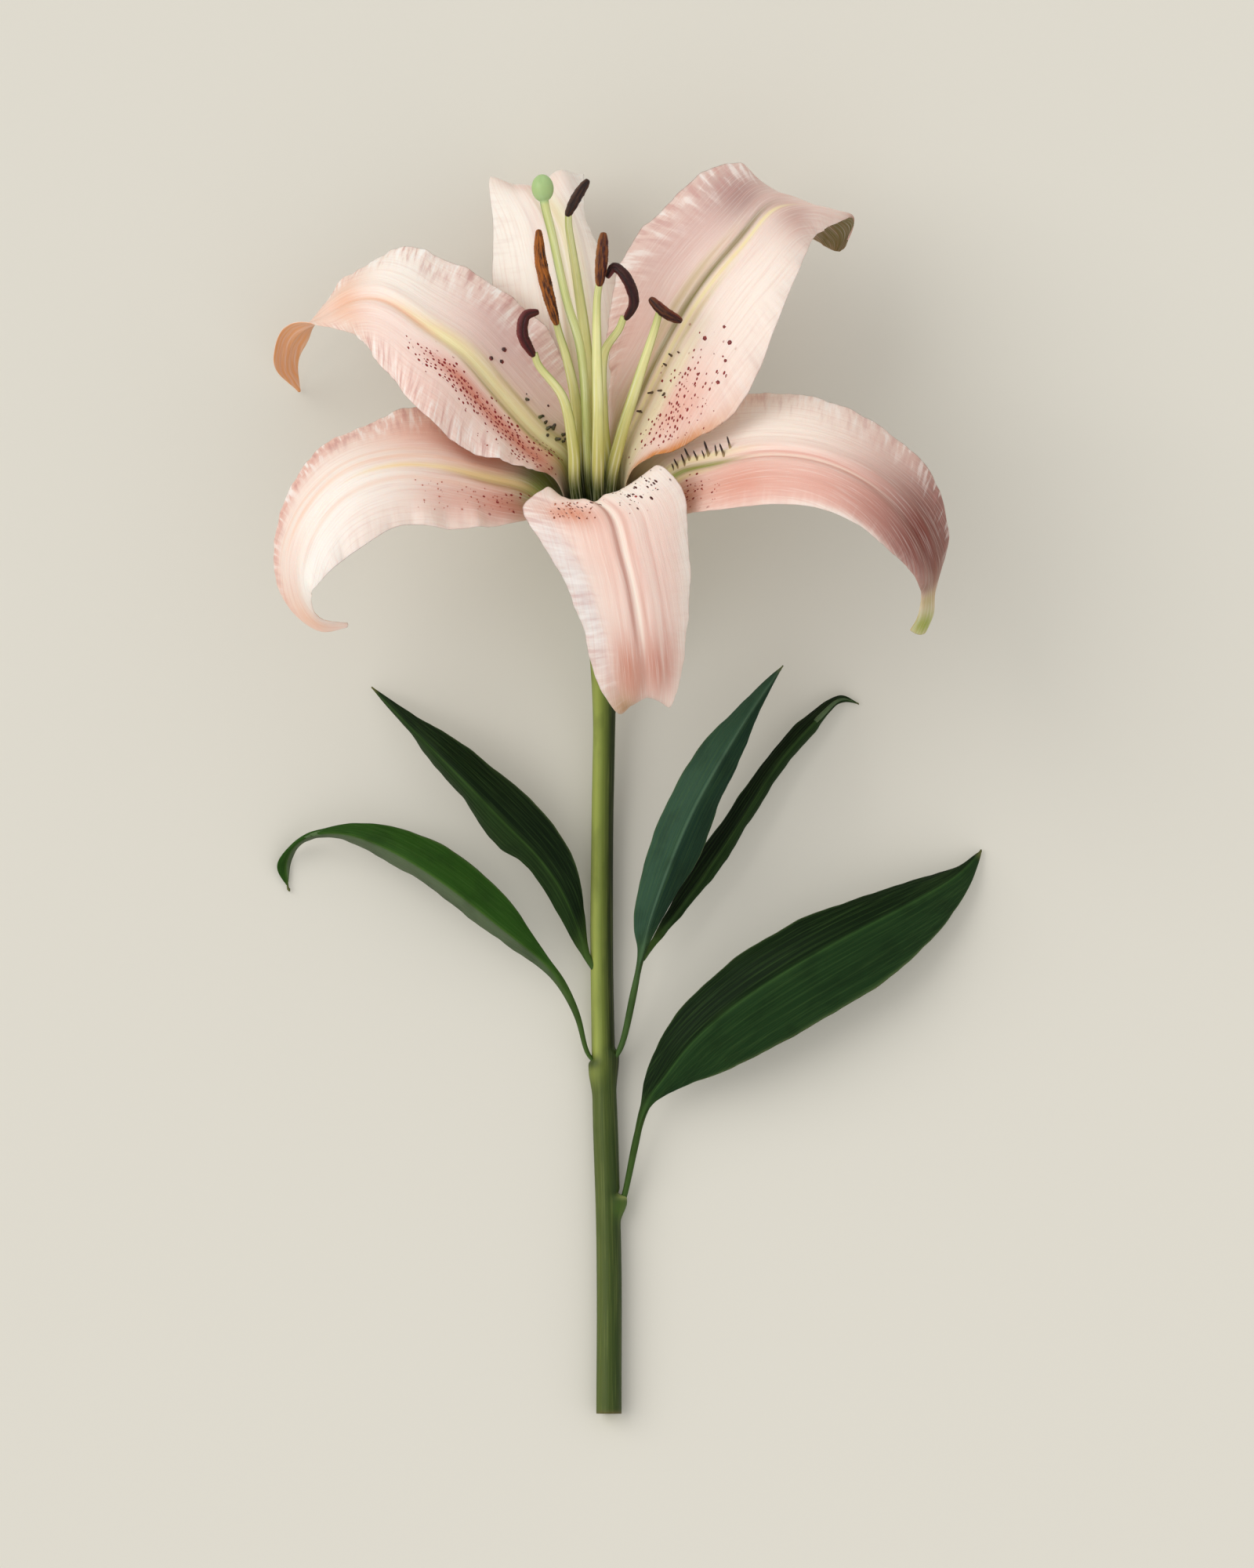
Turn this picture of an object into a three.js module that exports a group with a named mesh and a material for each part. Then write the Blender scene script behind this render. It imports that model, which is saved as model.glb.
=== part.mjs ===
// Cut lily: one open flower on a leafy stem, laid down on a flat surface.
// Millimetres. +Z is up, the stem runs along +Y from its cut end to the flower.
import * as THREE from 'three';

// ---- driving dimensions -------------------------------------------------
const PETAL_THICK = 1.2;         // flower leaves, a little over life size so that they are sound solids
const LEAF_THICK = 1.1;
const STALK_THICK = 2.0;         // leaf stalk, front to back
const BLADE_STEPS = 22;          // rows along a petal or a leaf
const BLADE_SPLITS = 8;          // strips across it
const ROD_SIDES = 12;
const STEM_SIDES = 18;
const FLOWER_BASE = new THREE.Vector3(-2, 230, 28);          // top of the stem, inside the flower
const FLOWER_AXIS = new THREE.Vector3(-0.03, 0.82, 0.571).normalize();
const BASE_RISE = 1.0;           // petals start this far above the stem's end
const LOW_TUBE = 20;             // how far up the flower tube the second row of a petal sits
// radius and half angle of the petals at the foot of the tube and at LOW_TUBE
const INNER = { footOut: 4.4, footHalf: 38, tubeOut: 7.6, tubeHalf: 46 };
const OUTER = { footOut: 6.2, footHalf: 44, tubeOut: 9.3, tubeHalf: 50 };
const FILAMENT_RING = 2.6;       // circle on which the six filaments stand
const FILAMENT_FOOT = 0.8;       // radius of a filament where it stands
const FILAMENT_MIDDLE = 1.5;
const FILAMENT_NECK = 1.35;
const FILAMENT_TOP = 0.85;
const ANTHER_RADIUS = 1.3;
const STIGMA_RADIUS = 3.2;       // the swollen tip of the style
const STIGMA_SHARE = 0.05;       // its share of the pistil's length

// ---- colours ------------------------------------------------------------
const PETAL_PINK = 0xe6c6b8;
const PETAL_CREAM = 0xeeddd0;
const LEAF_GREEN = 0x2f4a2a;
const STEM_GREEN = 0x6f8040;
const FILAMENT_GREEN = 0xc4c987;
const ANTHER_BROWN = 0x5a2018;
const STIGMA_GREEN = 0xa9c48a;

// ---- points in the flower's own directions -------------------------------
const ACROSS = new THREE.Vector3(1, 0, 0).addScaledVector(FLOWER_AXIS, -FLOWER_AXIS.x).normalize();
const BACKWARD = new THREE.Vector3().crossVectors(FLOWER_AXIS, ACROSS);
const at = (x, y, z) => new THREE.Vector3(x, y, z);

// A point `along` the flower's axis, `out` from it, `degrees` round it.
function inFlower(along, out, degrees) {
  const turn = THREE.MathUtils.degToRad(degrees);
  return FLOWER_BASE.clone()
    .addScaledVector(FLOWER_AXIS, along)
    .addScaledVector(ACROSS, out * Math.cos(turn))
    .addScaledVector(BACKWARD, out * Math.sin(turn));
}

// One row of a petal inside the tube: left margin, middle, right margin.
function tubeRow(along, out, degrees, half) {
  return [
    inFlower(along, out, degrees + half),
    inFlower(along, out, degrees),
    inFlower(along, out, degrees - half),
  ];
}

// ---- solids -------------------------------------------------------------
// Joins rings of equal length into one closed skin, with a fan over each end.
function loft(rings) {
  const count = rings[0].length;
  const middle = (ring) => ring.reduce((sum, p) => sum.add(p), at(0, 0, 0)).divideScalar(count);
  const points = [...rings.flat(), middle(rings[0]), middle(rings.at(-1))];
  const first = points.length - 2;
  const last = points.length - 1;
  const lastRing = (rings.length - 1) * count;
  const index = [];
  for (let i = 0; i < count; i++) {
    const next = (i + 1) % count;
    index.push(first, next, i);
    index.push(last, lastRing + i, lastRing + next);
    for (let row = 0; row < rings.length - 1; row++) {
      const a = row * count + i;
      const b = row * count + next;
      index.push(a, b, a + count);
      index.push(b, b + count, a + count);
    }
  }
  const geometry = new THREE.BufferGeometry().setFromPoints(points);
  geometry.setIndex(index);
  geometry.computeVertexNormals();
  return geometry;
}

// Radii spread evenly from a rod's foot to its top.
function taper(radii) {
  const line = new THREE.CatmullRomCurve3(radii.map((r, i) => at(i, r, 0)));
  return (u) => line.getPoint(u).y;
}

// A round rod along a smooth curve, with its rings closer together towards the top.
function rod(points, radiusAt, sides = ROD_SIDES, steps = 20) {
  const curve = new THREE.CatmullRomCurve3(points);
  const rings = [];
  let side = at(0, 0, 1);
  for (let i = 0; i <= steps; i++) {
    const u = Math.sin((Math.PI / 2) * (i / steps));
    const centre = curve.getPointAt(u);
    const radius = radiusAt(u);
    const forward = curve.getTangentAt(u);
    side = side.clone().addScaledVector(forward, -side.dot(forward)).normalize();
    const other = at(0, 0, 0).crossVectors(forward, side);
    const ring = [];
    for (let k = 0; k < sides; k++) {
      const turn = (2 * Math.PI * k) / sides;
      ring.push(centre.clone()
        .addScaledVector(side, radius * Math.cos(turn))
        .addScaledVector(other, radius * Math.sin(turn)));
    }
    rings.push(ring);
  }
  return loft(rings);
}

// A petal or leaf: rows of [left, middle, right] carried along three smooth rails.
// Across, the blade is the arch through those three points.
function blade(rows, thickness) {
  const rail = (side) => new THREE.CatmullRomCurve3(rows.map((row) => row[side]));
  const [left, middle, right] = [rail(0), rail(1), rail(2)];
  const spot = (u, v) => {
    const l = left.getPoint(u);
    const m = middle.getPoint(u);
    const r = right.getPoint(u);
    const half = r.clone().sub(l).multiplyScalar(v / 2);
    const arch = r.add(l).divideScalar(2).sub(m).multiplyScalar(v * v);
    return m.add(half).add(arch);
  };
  const step = 0.01;
  const facing = (u, v) => {
    const along = spot(Math.min(u + step, 1), v).sub(spot(Math.max(u - step, 0), v));
    const across = spot(u, v + step).sub(spot(u, v - step));
    return across.cross(along).normalize();
  };
  const rings = [];
  for (let i = 0; i <= BLADE_STEPS; i++) {
    const u = i / BLADE_STEPS;
    const front = [];
    const back = [];
    for (let k = 0; k <= BLADE_SPLITS; k++) {
      const v = (2 * k) / BLADE_SPLITS - 1;
      const lift = facing(u, v).multiplyScalar(thickness(u) / 2);
      front.push(spot(u, v).add(lift));
      back.unshift(spot(u, v).sub(lift));
    }
    rings.push([...front, ...back]);
  }
  return loft(rings);
}

function mesh(name, geometry, color) {
  const material = new THREE.MeshStandardMaterial({ color, roughness: 0.6, side: THREE.FrontSide });
  material.name = name;
  const result = new THREE.Mesh(geometry, material);
  result.name = name;
  return result;
}

// ---- the six petals -------------------------------------------------------
// Each list goes from just above the tube to the curled tip, as left, middle, right.
function petal(name, whorl, degrees, openRows, color) {
  const rows = [
    tubeRow(BASE_RISE, whorl.footOut, degrees, whorl.footHalf),
    tubeRow(LOW_TUBE, whorl.tubeOut, degrees, whorl.tubeHalf),
    ...openRows,
  ];
  return mesh(name, blade(rows, () => PETAL_THICK), color);
}

function petals() {
  const top = petal('sepal_top', OUTER, 90, [
    [at(-13, 269, 39.5), at(-4.5, 272, 38), at(4, 269, 39.5)],
    [at(-23, 284, 38), at(-7, 286, 39), at(5, 285, 40)],
    [at(-30, 302, 37), at(-9, 303, 41), at(8, 303, 40)],
    [at(-33, 320, 35), at(-12, 321, 41), at(1, 321, 38)],
    [at(-32.3, 334, 30), at(-15.5, 335, 36), at(-6.5, 334, 34)],
    [at(-33.5, 347, 22), at(-22, 344.5, 27), at(-7, 347, 26)],
    [at(-29, 341, 9), at(-20, 340, 13), at(-8, 344, 13)],
    [at(-19.5, 331, 0.8), at(-19, 331, 0.8), at(-18, 331, 0.8)],
  ], PETAL_CREAM);
  const upperRight = petal('petal_upper_right', INNER, 30, [
    [at(0, 269.5, 44), at(2.5, 267, 49), at(6, 264, 57)],
    [at(0, 285, 46), at(9, 283, 55), at(20, 270.5, 66)],
    [at(0, 300, 48), at(18.5, 302, 60.5), at(35, 279, 72)],
    [at(3, 323, 46), at(27, 315.5, 63.5), at(44, 297, 73)],
    [at(19, 341.5, 44), at(37.5, 328, 63.5), at(51.5, 316, 70)],
    [at(37, 350.5, 42), at(46, 338, 58), at(57, 328, 62)],
    [at(50, 335, 34), at(56.5, 338.6, 49), at(59.5, 331, 54)],
    [at(59, 328, 31), at(63.5, 336.2, 42), at(64, 333.5, 46)],
    [at(62.8, 325.8, 30), at(68.2, 333.2, 35), at(68, 335, 37.5)],
    [at(64.8, 325.5, 30.2), at(65.8, 326.4, 30.8), at(66.6, 327.6, 31.2)],
  ], PETAL_PINK);
  const right = petal('sepal_right', OUTER, -30, [
    [at(4.8, 275, 42.3), at(17.5, 262, 57), at(16, 250, 63)],
    [at(28, 283, 49), at(30, 265.8, 69), at(28, 252.3, 77)],
    [at(46, 286, 54), at(44, 268.5, 78), at(42, 254, 87)],
    [at(62, 283, 60), at(60, 266.5, 86), at(58, 253.3, 94)],
    [at(79, 274.5, 68), at(75, 259, 91), at(70, 248, 96)],
    [at(90.5, 262, 76), at(85, 248, 91), at(80, 240, 93)],
    [at(95.5, 246, 78), at(90, 236, 85), at(86, 233, 87)],
    [at(91.2, 230, 74), at(89.3, 229, 77), at(87.4, 228.5, 78)],
    [at(91, 223.8, 71), at(88.9, 223, 73), at(86.3, 222.6, 73.5)],
    [at(88.8, 218.8, 69), at(87, 218, 69.4), at(84.3, 219.2, 69.4)],
  ], PETAL_PINK);
  const bottom = petal('petal_bottom', INNER, -90, [
    [at(11, 259, 58), at(-3, 252, 66), at(-15, 257, 57)],
    [at(13.5, 265.5, 71), at(-4, 255.5, 76), at(-18, 259, 69)],
    [at(21, 258, 75.5), at(1.5, 251.5, 81), at(-24.5, 253.5, 73)],
    [at(22.3, 247, 80), at(4.5, 241, 85), at(-19.5, 245.5, 76)],
    [at(22.4, 232, 80), at(7, 231, 85), at(-12, 232.5, 76)],
    [at(22, 217, 78), at(9, 219, 82), at(-7, 219, 73)],
    [at(19.8, 205, 72), at(10.2, 208, 76), at(-3.8, 207, 68)],
    [at(17, 197, 65), at(10.5, 200, 66), at(3, 195, 62)],
    [at(14, 203, 57), at(11, 204, 56), at(7, 203, 56)],
    [at(12, 211, 53), at(11, 211, 52.8), at(10, 211, 53)],
  ], PETAL_PINK);
  const left = petal('sepal_left', OUTER, 210, [
    [at(-18, 250, 63), at(-21.5, 258, 58), at(-17, 272.5, 43)],
    [at(-33, 248, 75), at(-34, 261.5, 67), at(-34, 274, 52)],
    [at(-45, 247.2, 84), at(-47, 264.5, 76), at(-48, 281, 56)],
    [at(-58, 248.5, 90), at(-60, 265, 82), at(-63, 279.3, 60)],
    [at(-70, 241.5, 92), at(-73, 261, 86), at(-77, 272.5, 66)],
    [at(-78, 235.5, 90), at(-83, 251, 86), at(-88, 261.5, 72)],
    [at(-82.5, 230, 85), at(-88, 238, 81), at(-94.3, 243, 72)],
    [at(-83, 225, 77), at(-86, 226.5, 74), at(-90.5, 226.5, 70)],
    [at(-80, 222, 70), at(-80.5, 220.5, 69), at(-81, 218.5, 68)],
    [at(-73.5, 221.2, 65), at(-73.2, 220.6, 65), at(-73.5, 219.8, 65)],
  ], PETAL_CREAM);
  const upperLeft = petal('petal_upper_left', INNER, 150, [
    [at(-15.5, 262.5, 57), at(-11.5, 266.5, 49), at(-8, 270.5, 43.5)],
    [at(-24, 264.3, 66), at(-20, 273.5, 54), at(-9.5, 285, 46)],
    [at(-36, 268, 71), at(-31, 285.5, 59), at(-16, 301, 46)],
    [at(-47, 275, 74), at(-40.5, 296.5, 62.5), at(-28, 313.5, 46)],
    [at(-56.5, 284, 72), at(-50.5, 303.5, 61), at(-44, 322.5, 42)],
    [at(-63, 292.5, 64), at(-63, 312, 54), at(-60, 326.5, 36)],
    [at(-69, 300, 55), at(-72, 312, 45), at(-71, 320.5, 32)],
    [at(-77, 303.8, 42), at(-80, 307.5, 35), at(-80, 310.5, 27)],
    [at(-91, 305, 28), at(-88.5, 302.5, 22), at(-84.5, 301, 18)],
    [at(-94.6, 294, 17), at(-91, 294, 12), at(-87.5, 294.5, 9)],
    [at(-87.6, 286.6, 0.8), at(-87.2, 286.6, 0.8), at(-86.9, 286.8, 0.8)],
  ], PETAL_PINK);
  return [top, upperRight, right, bottom, left, upperLeft];
}

// ---- stamens and pistil ------------------------------------------------------
function stamen(number, degrees, path, pouch) {
  const foot = inFlower(BASE_RISE, FILAMENT_RING, degrees);
  const thread = taper([FILAMENT_FOOT, FILAMENT_MIDDLE, FILAMENT_NECK, FILAMENT_TOP]);
  const sack = (u) => 0.3 + ANTHER_RADIUS * Math.sin(Math.PI * Math.min(u, 0.999)) ** 0.3;
  return [
    mesh(`filament_${number}`, rod([foot, ...path], thread, ROD_SIDES, 16), FILAMENT_GREEN),
    mesh(`anther_${number}`, rod(pouch, sack, ROD_SIDES, 12), ANTHER_BROWN),
  ];
}

function stamens() {
  return [
    ...stamen(1, 90,
      [at(-4.5, 266, 48.5), at(-6.3, 298, 61), at(-9, 318, 66), at(-11.3, 332.6, 68.5)],
      [at(-11.8, 334.8, 69), at(-9.2, 340, 69), at(-5.8, 345.2, 67)]),
    ...stamen(2, 150,
      [at(-8.5, 263.5, 50), at(-9.3, 283, 58), at(-12, 296, 63.5), at(-13.9, 302, 66)],
      [at(-14.6, 304.4, 68), at(-17.2, 314, 70.5), at(-19.2, 323, 71), at(-19.7, 331.3, 70)]),
    ...stamen(3, 270,
      [at(-3.0, 260.3, 56), at(-3, 280, 66), at(-3.4, 300, 71), at(-3.2, 312.6, 73.5)],
      [at(-2.7, 315.2, 74.3), at(-2, 323, 76), at(-1.5, 330.4, 76)]),
    ...stamen(4, 30,
      [at(-0.5, 263.5, 51), at(-1.8, 280, 59), at(-1.2, 297, 65), at(3, 303.6, 69)],
      [at(4.6, 305.9, 70.3), at(7, 311, 73), at(4.6, 318, 75), at(1.5, 320.6, 74), at(-0.6, 317.6, 73)]),
    ...stamen(5, -30,
      [at(0.5, 260.5, 54), at(3, 272, 58), at(8.5, 290, 66), at(13.4, 305.2, 72)],
      [at(11.4, 312, 74), at(15.6, 308, 74.6), at(20.4, 305.4, 73)]),
    ...stamen(6, 210,
      [at(-9.5, 260, 54.5), at(-10, 270, 59), at(-13, 284.5, 65), at(-19.8, 293.4, 69)],
      [at(-21, 295.6, 70.4), at(-24.2, 302, 73), at(-23.3, 307, 73), at(-19.6, 308.2, 72)]),
  ];
}

// Seed pod at the foot, long style, swollen tip.
function pistil() {
  const line = [
    inFlower(BASE_RISE, 0, 0), at(-5.6, 261.8, 52.6), at(-6, 271, 58), at(-8, 298, 68),
    at(-12, 312, 72), at(-16, 330, 74), at(-18.1, 339, 74), at(-18.9, 346.6, 73.6),
  ];
  const style = taper([1.2, 1.5, 1.4, 1.2, 1.1, 1.1, 1.2]);
  const knob = (u) => {
    const height = (u - (1 - STIGMA_SHARE)) / STIGMA_SHARE;
    return height > 0 ? STIGMA_RADIUS * Math.sqrt(Math.max(0, 1 - (2 * height - 1) ** 2)) : 0;
  };
  const radiusAt = (u) => (u > 1 - STIGMA_SHARE / 2 ? Math.max(0.4, knob(u)) : Math.max(style(u), knob(u)));
  return mesh('pistil', rod(line, radiusAt, ROD_SIDES, 40), STIGMA_GREEN);
}

// ---- stem and leaves -------------------------------------------------------
function stem() {
  const line = [
    at(0, -1.2, 3.55), at(0, 44, 3.55), at(-1.5, 98, 3.7), at(-2, 130, 4), at(-1.8, 165, 5.5),
    at(-1.3, 195, 10), FLOWER_BASE.clone().addScaledVector(FLOWER_AXIS, -14),
    FLOWER_BASE.clone().addScaledVector(FLOWER_AXIS, 0.3),
  ];
  const cane = taper([3.55, 3.5, 3.5, 3.45, 3.5, 3.3, 3.2, 3.2, 3.1, 3.1, 3.2, 4.1, 7.0]);
  return mesh('stem', rod(line, cane, STEM_SIDES, 60), STEM_GREEN);
}

// Leaf stalks are rounder than the blade, so the thickness falls off past the stalk.
function leaf(name, rows, stalkPart) {
  const fade = (u) => THREE.MathUtils.smoothstep(u, stalkPart * 0.6, stalkPart * 1.3);
  const thick = (u) => THREE.MathUtils.lerp(STALK_THICK, LEAF_THICK, fade(u));
  return mesh(name, blade(rows, thick), LEAF_GREEN);
}

function leaves() {
  return [
    leaf('leaf_upper_left', [
      [at(-5.9, 125.5, 4), at(-5.9, 127, 5), at(-5.9, 129, 5)],
      [at(-10.5, 132.5, 6), at(-9, 136, 8), at(-6.8, 141, 7.5)],
      [at(-16, 142, 10), at(-14, 147, 12), at(-8.4, 150, 11)],
      [at(-23, 153, 14), at(-20.5, 156, 17), at(-12.5, 160, 14)],
      [at(-32, 159, 15), at(-29.5, 165, 22), at(-21.5, 171.5, 17)],
      [at(-41, 171.5, 16), at(-40, 176, 23), at(-36, 183.5, 18)],
      [at(-50, 183, 14), at(-50, 186, 19), at(-49, 192, 15)],
      [at(-58.5, 193.5, 8), at(-59, 195, 10), at(-58, 197.5, 9)],
      [at(-67, 202.9, 2), at(-67, 203.2, 2), at(-66.8, 203.5, 2)],
    ], 0.1),
    leaf('leaf_lower_left', [
      [at(-6.6, 99.8, 4.4), at(-6, 100, 4.4), at(-5.4, 100.2, 4.4)],
      [at(-9.6, 110.2, 8), at(-8.8, 110.6, 8), at(-8, 111, 8)],
      [at(-15, 119.8, 11), at(-13.8, 120.5, 11), at(-12.6, 121.2, 11)],
      [at(-19.5, 124.3, 13), at(-18.5, 126, 13.5), at(-17.5, 127.5, 13)],
      [at(-31, 132.5, 15), at(-31, 136, 17.5), at(-28, 143.5, 16)],
      [at(-45, 142.7, 15), at(-45, 147, 19), at(-42, 156, 16)],
      [at(-60, 153.2, 12), at(-60, 156.5, 17), at(-58, 163.4, 14)],
      [at(-74, 160.3, 7), at(-74.5, 162, 12), at(-74.5, 165.2, 10)],
      [at(-85, 160.3, 3), at(-86, 160.5, 6.5), at(-87.5, 160.3, 6)],
      [at(-89.5, 154.5, 1.2), at(-91, 154, 2.4), at(-93.8, 153, 2.4)],
      [at(-90.2, 146.3, 0.9), at(-90, 146, 0.9), at(-89.8, 146, 0.9)],
    ], 0.25),
    leaf('leaf_upper_right', [
      [at(2.2, 101.2, 5.8), at(3, 101, 5.8), at(3.8, 100.8, 5.8)],
      [at(5.6, 116, 12), at(6.6, 115.7, 12), at(7.6, 115.4, 12)],
      [at(8.2, 129, 17), at(9.3, 129, 17), at(10.3, 129, 17)],
      [at(6.8, 135.5, 18), at(11.3, 137, 19), at(15, 138, 18)],
      [at(9.5, 152, 21), at(16.5, 152, 24), at(24.5, 154, 21)],
      [at(16, 171, 24), at(24, 169.5, 28), at(31.5, 171, 25)],
      [at(28.5, 190, 24), at(34, 187, 28), at(38, 186, 26)],
      [at(40, 201.5, 20), at(42, 199.5, 23), at(43.5, 199, 22)],
      [at(48.8, 209.5, 15), at(49, 209.4, 15), at(49.2, 209.2, 15)],
    ], 0.28),
    leaf('leaf_narrow_right', [
      [at(11.6, 131.6, 12.5), at(12.2, 130.9, 12.5), at(12.8, 130.2, 12.5)],
      [at(15.3, 138, 12.5), at(16.8, 136.8, 14), at(17.5, 136, 13)],
      [at(23.5, 154.5, 10.5), at(27.5, 151, 13), at(29, 149.8, 11)],
      [at(34.5, 169, 11), at(36.5, 164.5, 14), at(37.5, 161.5, 11)],
      [at(46, 186, 9), at(47.5, 181.5, 12), at(48.5, 180, 9)],
      [at(58, 197, 5), at(59.5, 195, 8), at(60.5, 194, 5)],
      [at(65.5, 201, 2.5), at(65.5, 200, 3.5), at(65.5, 199, 2.5)],
      [at(70.3, 198.9, 1), at(70.4, 198.6, 1), at(70.4, 198.3, 1)],
    ], 0.1),
    leaf('leaf_lower_right', [
      [at(4.1, 62.8, 4.4), at(4.9, 62.5, 4.4), at(5.7, 62.2, 4.4)],
      [at(6.3, 74.6, 7.6), at(7.3, 74.3, 7.6), at(8.3, 74, 7.6)],
      [at(9, 86, 11), at(10.2, 85.6, 11), at(11.4, 85.2, 11)],
      [at(10.3, 95, 12), at(15, 92.5, 14), at(18, 89.2, 12)],
      [at(16.5, 108, 15), at(25, 105, 20), at(34, 96, 15)],
      [at(36, 128, 19), at(43, 119, 24), at(52, 105, 17)],
      [at(60, 140.5, 19), at(64, 131.5, 24), at(73, 117.5, 16)],
      [at(82, 148, 14), at(84, 142, 18), at(90, 131, 11)],
      [at(98, 152.5, 6), at(98.5, 150.5, 8), at(101, 146, 5)],
      [at(104.8, 157.7, 1), at(105, 157.4, 1), at(105.1, 157, 1)],
    ], 0.22),
  ];
}

// ---- the whole lily, standing on its bounding box -----------------------------
const lily = new THREE.Group();
lily.name = 'cut_lily';
const pieces = [stem(), ...petals(), ...stamens(), pistil(), ...leaves()];
const box = new THREE.Box3();
for (const piece of pieces) box.union(new THREE.Box3().setFromObject(piece));
const centre = box.getCenter(at(0, 0, 0));
for (const piece of pieces) {
  piece.geometry.translate(-centre.x, -centre.y, -box.min.z);
  lily.add(piece);
}

export default lily;
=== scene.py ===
# %% [markdown]
# # A cut oriental lily
# One open lily lies on a pale table. Its stem rests on the surface. Four of its leaf tips
# and the curled tips of the top and the upper left petal all but touch it, and the mouth of
# the flower leans up towards the camera, which looks straight down. Everything is in
# metres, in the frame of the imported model. The rail points below are in millimetres, with x
# and y measured from the stem's foot.

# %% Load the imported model
import math

import bpy
import numpy as np
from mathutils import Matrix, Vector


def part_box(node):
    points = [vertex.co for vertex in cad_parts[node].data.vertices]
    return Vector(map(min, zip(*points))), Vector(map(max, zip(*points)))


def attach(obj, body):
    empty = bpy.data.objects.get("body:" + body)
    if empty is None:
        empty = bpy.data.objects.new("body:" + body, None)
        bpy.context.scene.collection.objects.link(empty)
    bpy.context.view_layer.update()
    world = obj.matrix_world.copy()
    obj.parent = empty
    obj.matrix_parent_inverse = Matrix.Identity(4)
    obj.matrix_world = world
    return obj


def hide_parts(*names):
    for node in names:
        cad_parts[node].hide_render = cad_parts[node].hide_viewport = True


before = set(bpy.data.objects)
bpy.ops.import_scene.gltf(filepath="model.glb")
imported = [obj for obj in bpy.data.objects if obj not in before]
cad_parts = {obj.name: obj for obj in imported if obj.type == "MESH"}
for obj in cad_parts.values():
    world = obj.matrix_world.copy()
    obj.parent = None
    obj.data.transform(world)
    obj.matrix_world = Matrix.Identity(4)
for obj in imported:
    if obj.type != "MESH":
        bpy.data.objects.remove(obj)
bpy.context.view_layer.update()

# %% [markdown]
# ## Where the lily lies
# The swollen top of the stem is the widest part of that node, and it is centred on the
# flower's base, so the node's box says where the millimetre points go in the frame.

# %% From rail points to the frame
FLOWER_BASE = np.array([-2.0, 230.0, 28.0])
FLOWER_AXIS = np.array([-0.03, 0.82, 0.571])
FLOWER_AXIS /= np.linalg.norm(FLOWER_AXIS)
ACROSS = np.array([1.0, 0.0, 0.0]) - FLOWER_AXIS * FLOWER_AXIS[0]
ACROSS /= np.linalg.norm(ACROSS)
BACKWARD = np.cross(FLOWER_AXIS, ACROSS)

stem_low, stem_high = (np.array(corner) * 1000 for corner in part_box("stem"))
CUT_END = np.array([0.0, -1.2, 3.55])
SHIFT = np.array([(stem_low[0] + stem_high[0]) / 2 - FLOWER_BASE[0], stem_low[1] - CUT_END[1], 0.0])
print("millimetre points move by", SHIFT.round(2))


def in_flower(along, out, degrees):
    """base + along * axis + out * (cos(degrees) * across + sin(degrees) * backward)"""
    turn = np.radians(degrees)
    return (FLOWER_BASE + along * FLOWER_AXIS
            + out * (np.cos(turn) * ACROSS + np.sin(turn) * BACKWARD))


# %% [markdown]
# ## Smooth curves
# A petal bends in long easy sweeps. The rails are centripetal Catmull-Rom curves, the same
# as in the model, and a light smoothing along them takes out the last kinks in curvature.

# %% Curves through given points
def spline(points, t):
    """Hermite cubics between neighbouring points, with tangents from the three chords
    around each span, each chord timed by the square root of its length."""
    points = np.asarray(points, float)
    count = len(points)
    padded = np.vstack([2 * points[0] - points[1], points, 2 * points[-1] - points[-2]])
    place = np.clip(np.asarray(t, float), 0, 1) * (count - 1)
    span = np.minimum(place.astype(int), count - 2)
    w = (place - span)[:, None]
    p0, p1, p2, p3 = (padded[span + k] for k in range(4))
    time = [np.maximum(np.linalg.norm(b - a, axis=1), 1e-6)[:, None] ** 0.5
            for a, b in ((p0, p1), (p1, p2), (p2, p3))]
    m1 = ((p1 - p0) / time[0] - (p2 - p0) / (time[0] + time[1]) + (p2 - p1) / time[1]) * time[1]
    m2 = ((p2 - p1) / time[1] - (p3 - p1) / (time[1] + time[2]) + (p3 - p2) / time[2]) * time[1]
    return ((2 * w**3 - 3 * w**2 + 1) * p1 + (w**3 - 2 * w**2 + w) * m1
            + (-2 * w**3 + 3 * w**2) * p2 + (w**3 - w**2) * m2)


def eased(line, reach):
    """Each point becomes the bell-weighted mean of its neighbours; both ends stay put."""
    half = int(3 * reach)
    if half < 1:
        return line
    bell = np.exp(-0.5 * (np.arange(-half, half + 1) / reach) ** 2)
    bell /= bell.sum()
    head = 2 * line[0] - line[half:0:-1]
    tail = 2 * line[-1] - line[-2:-half - 2:-1]
    long = np.vstack([head, line, tail])
    return np.stack([np.convolve(long[:, k], bell, "valid") for k in range(3)], axis=1)


def unit(vectors):
    """Every vector divided by its own length."""
    return vectors / np.maximum(np.linalg.norm(vectors, axis=-1, keepdims=True), 1e-9)


def wander(x, seed, slowest=1.0, voices=5):
    """A smooth random curve between about -1 and 1: a sum of sines, each about 1.7 times
    as fast as the last and weaker by the same factor."""
    dice = np.random.default_rng(seed)
    speed = slowest * 1.7 ** np.arange(voices) * dice.uniform(0.85, 1.15, voices)
    start = dice.uniform(0, 2 * np.pi, voices)
    waves = np.sin(np.asarray(x)[..., None] * speed * 2 * np.pi + start)
    return (waves / 1.7 ** np.arange(voices)).sum(-1) / 1.8


def bell(x, middle, width):
    """exp(-((x - middle) / width) ** 2)"""
    return np.exp(-((x - middle) / width) ** 2)


def rise(x, start, end):
    """0 before start, 1 after end, and 3t^2 - 2t^3 between."""
    t = np.clip((x - start) / (end - start), 0, 1)
    return t * t * (3 - 2 * t)


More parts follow.
